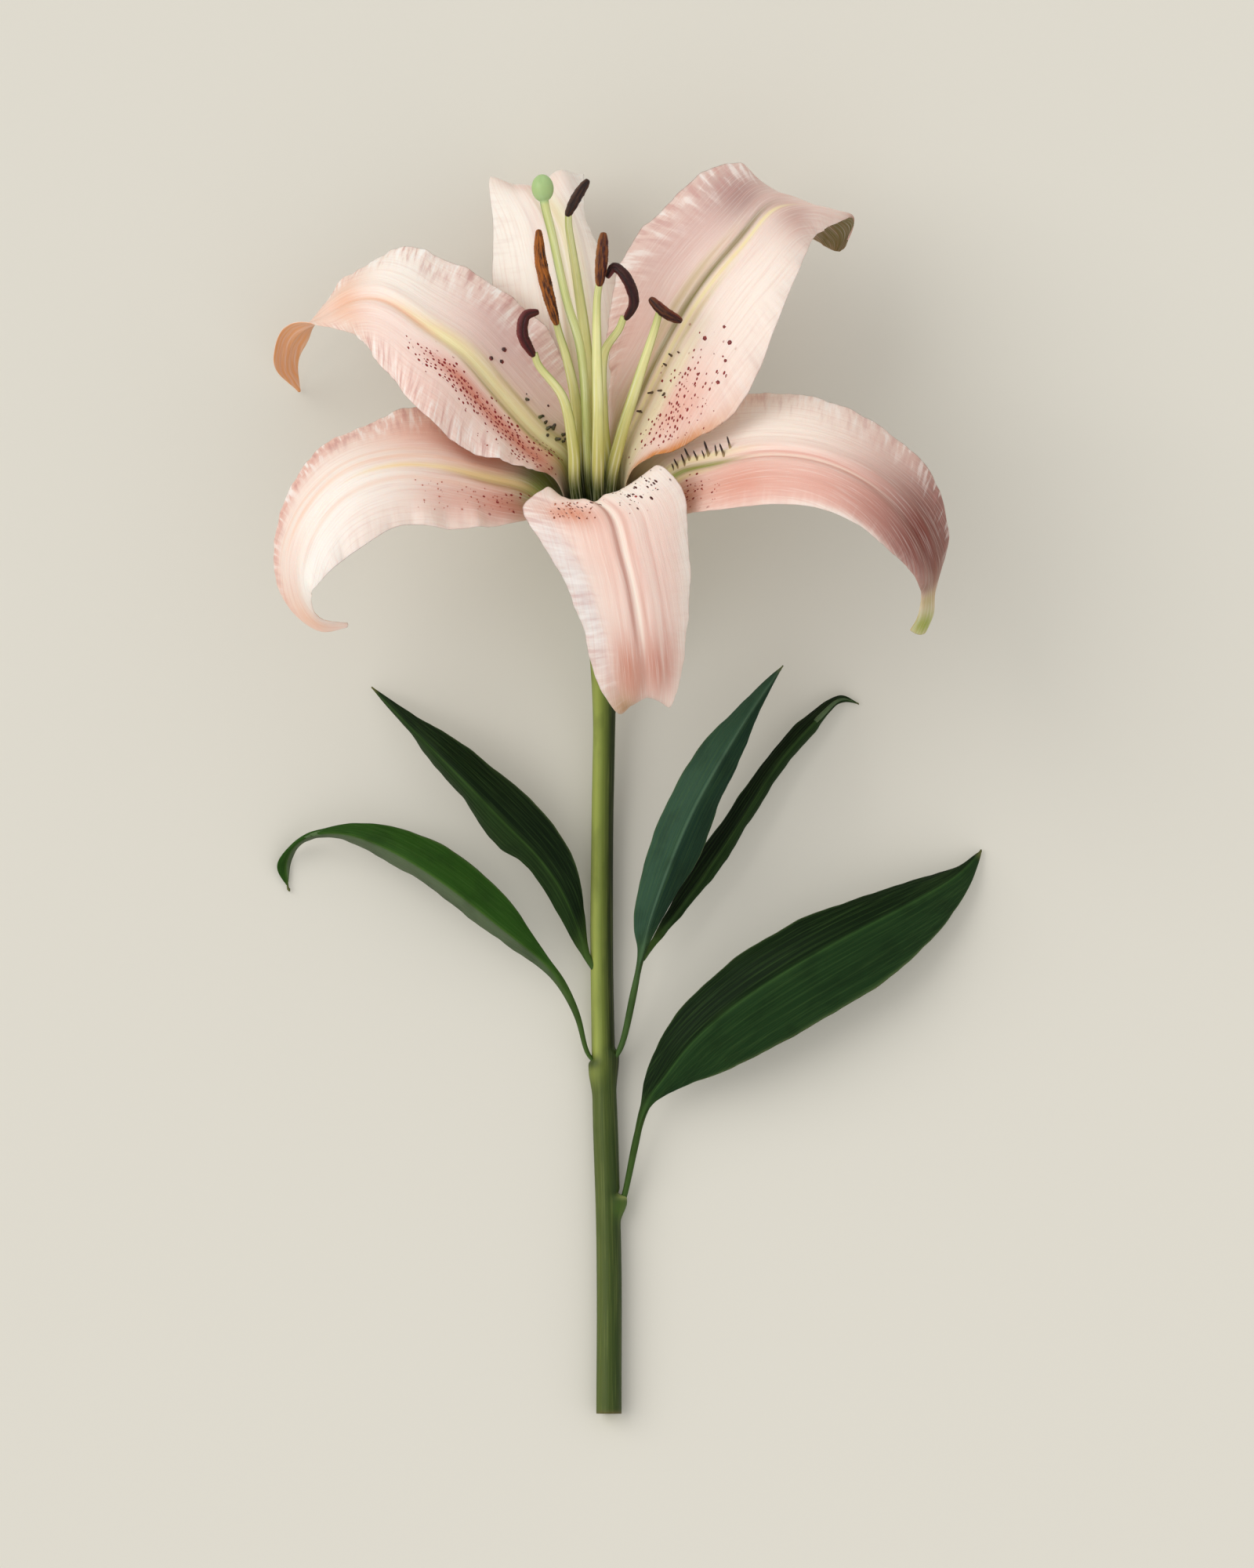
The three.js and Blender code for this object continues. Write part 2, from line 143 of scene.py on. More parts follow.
def fall(x, start, end):
    """1 before start, 0 after end: the mirror of rise."""
    return rise(-x, -end, -start)


print("a quarter and half way along a bent line:",
      spline([(0, 0, 0), (1, 1, 0), (2, 0, 0)], [0.25, 0.5]).round(2).tolist())

# %% [markdown]
# ## Closed skins
# A petal is a thin closed sheet: a front, a back, and a rim they share. A stem or a thread
# is a tube with both ends closed. Both are rings of points carried along a path, so one
# function joins the rings. Every skin also keeps its distance along and across in a UV
# map, in decimetres, so that veins and spots have their real size.

# %% Joining rings into a mesh
NO_MARKS = (0.0, 0.0, 0.0, 0.0)


def tint(red, green, blue):
    """An everyday screen colour (0 to 255) as the linear colour that light works with."""
    c = np.array([red, green, blue]) / 255
    return np.where(c <= 0.04045, c / 12.92, ((c + 0.055) / 1.055) ** 2.4)


def show(name, data):
    """A new object in the scene."""
    made = bpy.data.objects.new(name, data)
    bpy.context.scene.collection.objects.link(made)
    return made


def add_colour(mesh, name, values):
    """Four numbers for every point of the mesh, for its material to read."""
    mesh.color_attributes.new(name, "FLOAT_COLOR", "POINT").data.foreach_set("color", values.ravel())


def make_piece(name, points, faces, paint, material, cad_node=None):
    """A smooth painted mesh that rides on the one body. Its points are in millimetres."""
    mesh = bpy.data.meshes.new(name)
    mesh.from_pydata(((points + SHIFT) / 1000).tolist(), [], faces)
    mesh.polygons.foreach_set("use_smooth", np.ones(len(mesh.polygons), bool))
    add_colour(mesh, "paint", np.hstack([paint, np.ones((len(paint), 1))]))
    mesh.materials.append(material)
    piece = show(name, mesh)
    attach(piece, "root")
    if cad_node:
        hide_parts(cad_node)
    return piece


def skin(name, rings, flat, paint, material, cad_node, marks=NO_MARKS, across=None):
    """rings is rows x points x 3 in millimetres; flat, paint and marks hold each point's
    UV, colour and four material masks. Quads run between rings, and fans close the ends."""
    rows, count = rings.shape[:2]
    here = np.arange(count)
    nxt = (here + 1) % count
    foot, top = rows * count, rows * count + 1
    base = (np.arange(rows - 1) * count)[:, None]
    last = (rows - 1) * count
    quads = np.stack([base + here, base + nxt, base + nxt + count, base + here + count], -1)
    fans = np.vstack([np.stack([np.full(count, foot), nxt, here], 1),
                      np.stack([np.full(count, top), last + here, last + nxt], 1)])

    def spread(values):
        """The values of every ring point, then their means at the middles of the two ends."""
        values = np.asarray(values, float)
        width = values.shape[-1]
        values = np.broadcast_to(values, (rows, count, width))
        return np.vstack([values.reshape(-1, width), values[0].mean(0), values[-1].mean(0)])

    faces = quads.reshape(-1, 4).tolist() + fans.tolist()
    piece = make_piece(name, spread(rings), faces, spread(paint), material, cad_node)
    mesh = piece.data
    add_colour(mesh, "marks", spread(marks))
    corner = np.zeros(len(mesh.loops), int)
    mesh.loops.foreach_get("vertex_index", corner)
    mesh.uv_layers.new(name="flat").data.foreach_set("uv", spread(flat)[corner].ravel())
    if across is not None:
        side = mesh.attributes.new("across", "FLOAT", "POINT")
        side.data.foreach_set("value", spread(across[..., None]).ravel())
    mesh.update()
    return piece


print("a middle grey in linear light:", tint(128, 128, 128).round(3))

# %% [markdown]
# ## The sheet of a petal or a leaf
# Three rails carry it: left margin, middle rib, right margin. Across, it is an arch
# through the three points. Everything else is a small lift along its own normal: the
# channel over the rib, the shallow ribs beside it, and the waves that grow to the margins.

# %% The arched sheet and its measurements
CROWDING = 0.35      # how much closer together the points stand at the margins
RAIL_EASE = 0.2      # how far along a rail its kinks are smoothed, in steps between its rows
SOFT_FOLD = 0.003    # rounds the fold along the rib


def sheet(rows, steps, splits, fold=2.0):
    """P(u, v) = M + v (R - L) / 2 + |v|^fold ((R + L) / 2 - M), for v from -1 to 1.
    Returns the points, u, v, and the distances along and across in mm."""
    rows = np.asarray(rows, float)
    u = np.linspace(0, 1, steps)
    reach = RAIL_EASE * steps / (len(rows) - 1)
    left, middle, right = (eased(spline(rows[:, k], u), reach) for k in range(3))
    even_v = np.linspace(-1, 1, splits)
    v = np.sin(even_v * np.pi / 2) * CROWDING + even_v * (1 - CROWDING)
    half = (right - left)[:, None] / 2
    arch = ((right + left) / 2 - middle)[:, None]
    bend = (np.sqrt(v**2 + SOFT_FOLD) ** fold)[None, :, None]
    points = middle[:, None] + v[None, :, None] * half + bend * arch
    along = np.append(0, np.cumsum(np.linalg.norm(np.diff(middle, axis=0), axis=1)))
    across = np.cumsum(np.linalg.norm(np.diff(points, axis=1, prepend=points[:, :1]), axis=2), axis=1)
    across -= across[:, splits // 2][:, None]
    return points, u[:, None], v[None, :], along[:, None], across


def facing(points):
    """The unit normal of a grid: its across direction crossed with its along direction."""
    return unit(np.cross(np.gradient(points, axis=1), np.gradient(points, axis=0)))


def lifted(points, height):
    """points + height * normal, and the normals of the new grid."""
    points = points + facing(points) * height[..., None]
    return points, facing(points)


def margin_wave(along, v, length, seed, voices=5):
    """One smooth random wave for the left margin and one for the right; length is in mm."""
    left, right = (wander(along / length, seed + k, voices=voices) for k in range(2))
    return np.where(v < 0, left, right)


def patch(u, v, at_u, at_v, reach_u, reach_v, strength):
    """strength * bell(u) * bell(v): a soft oval on the blade."""
    return strength * bell(u, at_u, reach_u) * bell(v, at_v, reach_v)


def around(values):
    """Values on the front grid, carried on round the rim over the back."""
    return np.concatenate([values, values[:, -2:0:-1]], axis=1)


def two_sided(points, normals, thick, keel):
    """Front and back stand half the thickness off the sheet and meet at the margins; the
    keel stands out only at the back. Returns the rings and a 0-to-1 mark for the back."""
    front = points + normals * (thick / 2)[..., None]
    back = points - normals * (thick / 2 + keel)[..., None]
    rings = np.concatenate([front, back[:, -2:0:-1]], axis=1)
    mark = np.concatenate([np.zeros(front.shape[1]), np.ones(front.shape[1] - 2)])
    return rings, mark


def sheet_skin(name, material, two_sides, paints, v, along, across, marks=NO_MARKS):
    """The skin of a blade: its own paint on each side, and UVs from the distances in mm."""
    rings, back = two_sides
    front, under = (around(paint) for paint in paints)
    paint = np.where(back[None, :, None] > 0, under, front)
    flat = around(np.stack(np.broadcast_arrays(along, across), -1)) / 100
    side = around(np.broadcast_to(v, across.shape))
    return skin(f"{name}_skin", rings, flat, paint, material, name, marks, side)


def coats(ground, shape, washes):
    """Thin coats in turn, over one ground colour or over a painted grid: paint + amount *
    (colour - paint). A coat is a screen colour and its amount over the grid, from 0 to 1."""
    paint = np.broadcast_to(tint(*ground), (*shape, 3)) if isinstance(ground, tuple) else ground
    for colour, amount in washes:
        paint = paint + np.clip(amount, 0, 1)[..., None] * (tint(*colour) - paint)
    return paint


print("points across half a sheet of 9:", sheet([[(0, 0, 0), (1, 0, 0), (2, 0, 0)],
                                                 [(0, 5, 0), (1, 5, 0), (2, 5, 0)]],
                                                20, 9)[2][0, 4:].round(2))

# %% [markdown]
# ## The six petals
# Three inner petals are broad and sit in front; three outer ones, the sepals, are
# narrower and sit behind. Each list of rows runs from just above the flower's tube to the
# curled tip. All six start as rows on circles inside the tube, where the inner three
# nest inside the outer three.

# %% Petal rails
INNER = dict(foot=(0.4, 4.4, 38), tube=(20, 7.6, 46))
OUTER = dict(foot=(0.2, 6.2, 44), tube=(20, 9.3, 50))


def tube_row(degrees, ring):
    """Left margin, middle and right margin on a circle round the flower's axis."""
    along, out, half = ring
    return [in_flower(along, out, degrees + turn) for turn in (half, 0, -half)]


def petal_rows(whorl, degrees, open_rows):
    """Two rows inside the tube, then the open part of the petal."""
    return np.array([tube_row(degrees, whorl["foot"]), tube_row(degrees, whorl["tube"])]
                    + [list(map(np.array, row)) for row in open_rows], float)


RAILS = {
    "sepal_top": petal_rows(OUTER, 90, [
        [(-13, 269, 39.5), (-4.5, 272, 38), (4, 269, 39.5)],
        [(-23, 284, 38), (-7, 286, 39), (5, 285, 40)],
        [(-30, 302, 37), (-9, 303, 41), (8, 303, 40)],
        [(-33, 320, 35), (-12, 321, 41), (1, 321, 38)],
        [(-32.3, 334, 30), (-15.5, 335, 36), (-6.5, 334, 34)],
        [(-33.5, 347, 22), (-22, 344.5, 27), (-7, 347, 26)],
        [(-29, 341, 9), (-20, 340, 13), (-8, 344, 13)],
        [(-19.5, 331, 0.8), (-19, 331, 0.8), (-18, 331, 0.8)]]),
    "petal_upper_right": petal_rows(INNER, 30, [
        [(0, 269.5, 44), (2.5, 267, 49), (6, 264, 57)],
        [(0, 285, 46), (9, 283, 55), (20, 270.5, 66)],
        [(0, 300, 48), (18.5, 302, 60.5), (35, 279, 72)],
        [(3, 323, 46), (27, 315.5, 63.5), (44, 297, 73)],
        [(19, 341.5, 44), (37.5, 328, 63.5), (51.5, 316, 70)],
        [(37, 350.5, 42), (46, 338, 58), (57, 328, 62)],
        [(50, 335, 34), (56.5, 338.6, 49), (59.5, 331, 54)],
        [(59, 328, 31), (63.5, 336.2, 42), (64, 333.5, 46)],
        [(62.8, 325.8, 30), (68.2, 333.2, 35), (68, 335, 37.5)],
        [(64.8, 325.5, 30.2), (65.8, 326.4, 30.8), (66.6, 327.6, 31.2)]]),
    "sepal_right": petal_rows(OUTER, -30, [
        [(4.8, 275, 42.3), (17.5, 262, 57), (16, 250, 63)],
        [(28, 283, 49), (30, 265.8, 69), (28, 252.3, 77)],
        [(46, 286, 54), (44, 268.5, 78), (42, 254, 87)],
        [(62, 283, 60), (60, 266.5, 86), (58, 253.3, 94)],
        [(79, 274.5, 68), (75, 259, 91), (70, 248, 96)],
        [(90.5, 262, 76), (85, 248, 91), (80, 240, 93)],
        [(95.5, 246, 78), (90, 236, 85), (86, 233, 87)],
        [(91.2, 230, 74), (89.3, 229, 77), (87.4, 228.5, 78)],
        [(91, 223.8, 71), (88.9, 223, 73), (86.3, 222.6, 73.5)],
        [(88.8, 218.8, 69), (87, 218, 69.4), (84.3, 219.2, 69.4)]]),
    "petal_bottom": petal_rows(INNER, -90, [
        [(11, 259, 58), (-3, 252, 66), (-15, 257, 57)],
        [(13.5, 265.5, 71), (-4, 255.5, 76), (-18, 259, 69)],
        [(21, 258, 75.5), (1.5, 251.5, 81), (-24.5, 253.5, 73)],
        [(22.3, 247, 80), (4.5, 241, 85), (-19.5, 245.5, 76)],
        [(22.4, 232, 80), (7, 231, 85), (-12, 232.5, 76)],
        [(22, 217, 78), (9, 219, 82), (-7, 219, 73)],
        [(19.8, 205, 72), (10.2, 208, 76), (-3.8, 207, 68)],
        [(17, 197, 65), (10.5, 200, 66), (3, 195, 62)],
        [(14, 203, 57), (11, 204, 56), (7, 203, 56)],
        [(12, 211, 53), (11, 211, 52.8), (10, 211, 53)]]),
    "sepal_left": petal_rows(OUTER, 210, [
        [(-18, 250, 63), (-21.5, 258, 58), (-17, 272.5, 43)],
        [(-33, 248, 75), (-34, 261.5, 67), (-34, 274, 52)],
        [(-45, 247.2, 84), (-47, 264.5, 76), (-48, 281, 56)],
        [(-58, 248.5, 90), (-60, 265, 82), (-63, 279.3, 60)],
        [(-70, 241.5, 92), (-73, 261, 86), (-77, 272.5, 66)],
        [(-78, 235.5, 90), (-83, 251, 86), (-88, 261.5, 72)],
        [(-82.5, 230, 85), (-88, 238, 81), (-94.3, 243, 72)],
        [(-83, 225, 77), (-86, 226.5, 74), (-90.5, 226.5, 70)],
        [(-80, 222, 70), (-80.5, 220.5, 69), (-81, 218.5, 68)],
        [(-73.5, 221.2, 65), (-73.2, 220.6, 65), (-73.5, 219.8, 65)]]),
    "petal_upper_left": petal_rows(INNER, 150, [
        [(-15.5, 262.5, 57), (-11.5, 266.5, 49), (-8, 270.5, 43.5)],
        [(-24, 264.3, 66), (-20, 273.5, 54), (-9.5, 285, 46)],
        [(-36, 268, 71), (-31, 285.5, 59), (-16, 301, 46)],
        [(-47, 275, 74), (-40.5, 296.5, 62.5), (-28, 313.5, 46)],
        [(-56.5, 284, 72), (-50.5, 303.5, 61), (-44, 322.5, 42)],
        [(-63, 292.5, 64), (-63, 312, 54), (-60, 326.5, 36)],
        [(-69, 300, 55), (-72, 312, 45), (-71, 320.5, 32)],
        [(-77, 303.8, 42), (-80, 307.5, 35), (-80, 310.5, 27)],
        [(-91, 305, 28), (-88.5, 302.5, 22), (-84.5, 301, 18)],
        [(-94.6, 294, 17), (-91, 294, 12), (-87.5, 294.5, 9)],
        [(-87.6, 286.6, 0.8), (-87.2, 286.6, 0.8), (-86.9, 286.8, 0.8)]]),
}

print("rows of rails:", {name: len(rows) for name, rows in RAILS.items()})

# %% [markdown]
# ## What colours each petal
# The ground is blushed cream. A yellow or green band follows the rib, with a darker groove
# beside it. Each petal then has its own soft patches of salmon, cream or umber, and its own
# rows of spots. Some umber patches are painted shade where a petal folds or bends away from
# the light, some cream ones carry a painted highlight, and the deep green in the tube is
# partly painted shade.

# %% Petal colours, patches and lines
BLUSH = (238, 211, 201)
CREAM = (247, 236, 226)
PINK = (226, 180, 170)
MAUVE = (205, 168, 168)
PEACH = (236, 184, 152)
ORANGE = (206, 118, 56)
RUST = (168, 78, 50)
OLIVE = (188, 172, 98)
DARK_OLIVE = (116, 108, 34)
# the tube's own green, darkened to near black as painted shade deep in the tube
TUBE_GREEN_AND_SHADE = (38, 52, 14)
LEAF_TIP = (150, 164, 70)

# A patch is (along, across, reach along, reach across, colour, strength), along from 0 to 1
# and across from -1 to 1. A line is (mm from the rib, half width in mm, start, end, colour,
# strength). A spot patch is (along, across, reach along, reach across, density). A fold is
# (along, across, reach along, reach across, mm). Feather is how far each margin, first the
# one at -1, is streaked.
LOOKS = {
    "sepal_top": dict(
        ground=(240, 230, 220), ruffle=0.5, feather=(0.15, 0.25),
        patches=[(0.40, -0.8, 0.10, 0.4, PINK, 0.7), (0.60, -0.6, 0.2, 0.4, CREAM, 0.7),
                 (0.62, 0.7, 0.2, 0.4, (236, 222, 212), 0.7),
                 (0.62, -0.35, 0.12, 0.15, (228, 207, 198), 0.7),
                 (0.76, 0.9, 0.06, 0.3, (222, 219, 212), 0.8),
                 (0.76, -0.2, 0.03, 0.9, (222, 188, 176), 0.6)],
        lines=[(1.5, 4.0, 0.15, 0.80, (216, 206, 156), 0.75), (-2.6, 0.7, 0.25, 0.78, (182, 168, 110), 0.5),
               (-7.0, 0.7, 0.3, 0.76, (216, 196, 190), 0.6), (0.3, 0.6, 0.3, 0.8, CREAM, 0.6),
               (6.0, 0.7, 0.3, 0.76, (206, 190, 180), 0.5)],
        spots=[(0.36, -0.5, 0.05, 0.4, 0.3)],
        folds=[(0.72, -0.9, 0.05, 0.3, 1.2), (0.775, 0.6, 0.06, 0.25, 3.2), (0.77, -0.35, 0.04, 0.2, -0.8)]),
    "petal_upper_right": dict(
        ground=BLUSH, ruffle=1.3, feather=(0.6, 0.15),
        # painted shade: the umber patch at 0.60 along and the mauve one at 0.49 darken the fold of the left
        # lobe
        patches=[(0.60, -0.5, 0.06, 0.5, (138, 100, 96), 0.85),
                 (0.49, -0.55, 0.09, 0.4, (200, 164, 158), 0.7),
                 # the cream patch at 0.50 along is the petal's own cream with a painted highlight on its
                 # right half
                 (0.36, -0.65, 0.08, 0.5, PINK, 0.6), (0.50, 0.6, 0.14, 0.7, (247, 231, 220), 0.95),
                 (0.30, 0.6, 0.06, 0.3, (228, 168, 150), 0.8), (0.25, 0.98, 0.10, 0.09, (204, 126, 52), 1.0),
                 # painted shade: the first patch, at 0.66 along, darkens the petal towards the fold at its
                 # tip
                 (0.66, 0.4, 0.05, 0.5, (178, 134, 124), 0.6), (0.92, 0, 0.06, 2, (150, 92, 54), 0.9),
                 (0.175, -0.1, 0.055, 0.6, (170, 174, 100), 0.9)],
        lines=[(-1.6, 1.0, 0.12, 0.68, DARK_OLIVE, 0.95), (-4.2, 2.0, 0.12, 0.60, (184, 166, 104), 0.6),
               (1.0, 1.2, 0.10, 0.74, (240, 226, 170), 0.95), (3.2, 0.7, 0.12, 0.56, OLIVE, 0.7),
               (6.0, 2.6, 0.12, 0.46, (240, 228, 188), 0.8)],
        spots=[(0.33, 0.5, 0.06, 0.3, 0.25), (0.27, 0.62, 0.05, 0.2, 0.65)],
        folds=[(0.29, -0.6, 0.05, 0.22, 3.0), (0.6, -0.5, 0.05, 0.3, -1.2)]),
    "sepal_right": dict(
        ground=BLUSH, ruffle=0.6, feather=(0.45, 0.1),
        patches=[(0.35, -0.5, 0.16, 0.6, (253, 238, 227), 1.0), (0.32, 0.5, 0.09, 0.5, (216, 150, 130), 0.9),
                 (0.46, 0.5, 0.12, 0.5, (223, 164, 148), 0.8), (0.56, 0.4, 0.08, 0.8, (192, 136, 122), 0.75),
                 # painted shade on the outer bend, which turns away from the light: the umber patches at 0.66
                 # and 0.74 along, and at 0.77 two lines down, deepen the sepal's own mauve-brown there
                 (0.66, 0.0, 0.11, 1.8, (126, 64, 52), 1.0), (0.74, -0.5, 0.09, 0.9, (108, 50, 40), 0.95),
                 (0.56, -0.85, 0.06, 0.25, (222, 192, 182), 0.6),
                 (0.50, 0.98, 0.12, 0.10, CREAM, 0.7), (0.77, 0.3, 0.05, 1.2, (140, 92, 76), 0.85),
                 (0.84, 0, 0.03, 2, (186, 164, 112), 0.7), (0.95, 0, 0.09, 2, LEAF_TIP, 1.0),
                 (0.20, 0.6, 0.05, 0.5, (190, 112, 80), 0.8), (0.25, -0.95, 0.07, 0.14, ORANGE, 0.8)],
        lines=[(0, 1.5, 0.08, 0.38, (136, 144, 54), 1.0), (-2.8, 1.1, 0.12, 0.38, (232, 220, 160), 0.8),
               (2.4, 1.0, 0.12, 0.34, (226, 206, 146), 0.7), (-1.1, 0.5, 0.33, 0.60, (212, 146, 130), 0.7),
               (1.3, 0.5, 0.33, 0.64, (206, 138, 122), 0.7), (0.1, 0.6, 0.33, 0.62, (244, 218, 200), 0.8)],
        spots=[(0.22, 0.5, 0.04, 0.4, 0.35)], folds=[]),
    "petal_bottom": dict(
        ground=(240, 214, 203), ruffle=0.7, feather=(0.1, 0.5),
        patches=[(0.50, -0.3, 0.14, 0.5, (236, 200, 188), 0.7),
                 (0.71, -0.35, 0.08, 0.5, (196, 134, 116), 0.9),
                 (0.72, 0.35, 0.07, 0.3, (196, 130, 108), 0.85), (0.45, 0.25, 0.1, 0.3, (234, 192, 176), 0.6),
                 (0.56, 0.86, 0.22, 0.2, (228, 217, 214), 1.0),
                 (0.76, 0.4, 0.05, 0.5, (196, 136, 114), 0.6),
                 (0.36, 0.5, 0.04, 0.35, (204, 122, 84), 0.85),
                 (0.29, -0.5, 0.06, 0.6, (249, 237, 227), 0.9), (0.5, -0.92, 0.2, 0.12, CREAM, 0.7),
                 (0.81, 0.8, 0.04, 0.4, (172, 130, 78), 0.8)],
        lines=[(0, 1.0, 0.27, 0.74, (250, 236, 222), 0.95), (1.9, 0.7, 0.27, 0.74, (172, 110, 94), 0.7),
               (-2.0, 0.7, 0.3, 0.72, (196, 140, 122), 0.5), (-5.2, 0.7, 0.35, 0.8, (246, 222, 210), 0.5),
               (-7.0, 0.6, 0.4, 0.8, (212, 160, 146), 0.3), (5.2, 0.8, 0.35, 0.8, (214, 166, 152), 0.3)],
        spots=[(0.30, -0.45, 0.04, 0.5, 0.4), (0.33, 0.35, 0.03, 0.3, 0.4)],
        folds=[(0.55, 0.72, 0.2, 0.07, -1.0), (0.55, 0.95, 0.2, 0.1, 0.8)]),
    "sepal_left": dict(
        ground=(242, 220, 209), ruffle=1.1, feather=(0.15, 0.85),
        # the first patch is partly the sepal's own orange-brown and partly painted shadow near the throat
        patches=[(0.29, 0.6, 0.08, 0.5, (208, 140, 114), 1.0),
                 (0.41, 0.55, 0.09, 0.35, (230, 176, 156), 0.75),
                 (0.25, -0.5, 0.08, 0.4, (210, 144, 126), 1.0), (0.35, -0.5, 0.07, 0.3, (222, 170, 154), 0.7),
                 # the cream patches at 0.57 and 0.70 along are the sepal's own cream with a painted highlight
                 # laid in
                 (0.57, -0.1, 0.12, 0.5, (250, 242, 234), 0.95),
                 (0.70, -0.7, 0.14, 0.4, (249, 243, 236), 0.95),
                 (0.64, 0.88, 0.22, 0.2, (218, 162, 148), 0.8), (0.88, 0.3, 0.08, 0.8, PEACH, 0.7),
                 (0.16, 0.2, 0.055, 1.6, (76, 116, 34), 1.0), (0.22, -0.7, 0.04, 0.3, RUST, 0.4)],
        lines=[(0, 2.4, 0.19, 0.40, (214, 192, 112), 0.85), (-2.2, 0.6, 0.05, 0.19, (128, 156, 58), 0.9),
               (0.6, 0.6, 0.05, 0.20, (140, 168, 70), 0.9), (3.2, 0.6, 0.05, 0.19, (120, 150, 54), 0.9),
               (0.6, 1.0, 0.20, 0.58, (246, 218, 160), 0.85),
               (-2.4, 0.7, 0.15, 0.40, (180, 132, 84), 0.6), (3.2, 0.8, 0.25, 0.78, (236, 188, 160), 0.6),
               (-4.8, 0.9, 0.30, 0.74, (242, 202, 180), 0.5), (6.5, 0.8, 0.35, 0.8, (240, 196, 172), 0.5)],
        spots=[(0.23, -0.45, 0.04, 0.3, 0.35)],
        folds=[(0.31, -0.9, 0.02, 0.3, 1.2), (0.36, -0.9, 0.02, 0.25, -1.2), (0.41, -0.9, 0.02, 0.2, 0.9)]),
    "petal_upper_left": dict(
        ground=BLUSH, ruffle=1.3, feather=(0.8, 0.9),
        # the first patch, cream at 0.57 along, is the petal's own cream with a painted highlight on its upper
        # half
        patches=[(0.57, 0.5, 0.09, 0.6, (250, 240, 231), 0.95), (0.36, 0.65, 0.10, 0.4, MAUVE, 0.6),
                 (0.46, -0.75, 0.08, 0.3, (236, 196, 184), 0.6),
                 (0.27, -0.85, 0.07, 0.2, (238, 206, 196), 0.6),
                 (0.69, 0.0, 0.05, 0.8, PEACH, 0.75), (0.19, -0.9, 0.03, 0.3, RUST, 0.7),
                 (0.78, 0, 0.05, 2, (232, 196, 172), 0.6), (0.175, 0.1, 0.055, 0.6, (170, 172, 96), 0.95)],
        lines=[(-7.5, 3.2, 0.20, 0.54, (208, 132, 112), 1.0), (-3.5, 1.8, 0.16, 0.36, (216, 146, 116), 0.7),
               (0.6, 3.4, 0.10, 0.60, (226, 213, 150), 0.9), (-2.6, 0.8, 0.12, 0.48, (158, 148, 74), 0.75),
               (3.6, 0.7, 0.12, 0.44, (172, 162, 90), 0.6), (0.8, 0.8, 0.15, 0.62, (244, 234, 186), 0.8),
               (-0.5, 1.2, 0.50, 0.74, (238, 182, 144), 0.7)],
        spots=[(0.22, -0.22, 0.04, 0.14, 1.0), (0.30, -0.34, 0.05, 0.14, 1.1), (0.38, -0.36, 0.05, 0.13, 1.1),
               (0.46, -0.34, 0.05, 0.11, 1.0), (0.24, -0.7, 0.05, 0.2, 0.5)],
        folds=[(0.30, -0.9, 0.02, 0.3, 1.0), (0.36, -0.9, 0.02, 0.3, -1.0)]),
}
# The back of the curled tips, where it shows: its colour, and how faint the stripes are.
CURLED = {"petal_upper_left": ((236, 164, 104), 0.14), "petal_upper_right": ((104, 92, 34), 0.04),
          "sepal_left": ((226, 178, 128), 0.04), "sepal_right": (LEAF_TIP, 0.04)}

print("patches and lines:", {name: len(k["patches"] + k["lines"]) for name, k in LOOKS.items()})

# %% [markdown]
# ## Petal skin
# Live petal is waxy and lets some light through, so the shader scatters a little light
# under its surface. Long faint streaks run with the veins; short pink streaks feather the
# margins; and dark raised spots sit on the pink band, each in its own random place.

# %% A material for petals
def plug(tree, made, inputs):
    """Each input is a socket's name or number, and a value or another node's output."""
    for key, value in inputs:
        if isinstance(value, bpy.types.NodeSocket):
            tree.links.new(value, made.inputs[key])
        else:
            made.inputs[key].default_value = value


def node(tree, kind, inputs=(), **settings):
    """Adds a shader node with its settings and inputs."""
    made = tree.nodes.new(kind)
    for key, value in settings.items():
        setattr(made, key, value)
    plug(tree, made, inputs)
    return made


def maths(tree, operation, a, b=0.5, c=0.5):
    """One sum, product or comparison."""
    return node(tree, "ShaderNodeMath", [(0, a), (1, b), (2, c)], operation=operation).outputs[0]


def step_between(tree, value, low, high):
    """0 below low, 1 above high, smooth between; low above high turns it round."""
    made = node(tree, "ShaderNodeMapRange", [("Value", value), ("From Min", low), ("From Max", high)],
                interpolation_type="SMOOTHSTEP")
    return made.outputs["Result"]


def blend(tree, amount, a, b):
    """a where amount is 0, b where it is 1."""
    a, b = (c if isinstance(c, bpy.types.NodeSocket) else (*c, 1.0) for c in (a, b))
    return node(tree, "ShaderNodeMix", [(0, amount), (6, a), (7, b)], data_type="RGBA").outputs[2]


def layer(tree, colour, mask, strength, over):
    """colour, with a thin coat of another screen colour: strength times the mask."""
    return blend(tree, maths(tree, "MULTIPLY", mask, strength), colour, tint(*over))


def attribute(tree, name, output="Color"):
    """What the mesh keeps under this name at each point."""
    return node(tree, "ShaderNodeAttribute", attribute_name=name).outputs[output]


def channels(tree, colour):
    """The red, green and blue of a colour, as three outputs."""
    return node(tree, "ShaderNodeSeparateColor", [("Color", colour)]).outputs


def flat_map(tree):
    """The place on the flat map, in decimetres along and across."""
    return node(tree, "ShaderNodeUVMap", uv_map="flat").outputs[0]


def object_place(tree):
    """The place in the frame, in metres."""
    return node(tree, "ShaderNodeTexCoord").outputs["Object"]


def scaled(tree, uv, along, across):
    """The flat map, with its own scale in each direction."""
    return node(tree, "ShaderNodeMapping", [("Vector", uv), ("Scale", (along, across, 1.0))]).outputs[0]


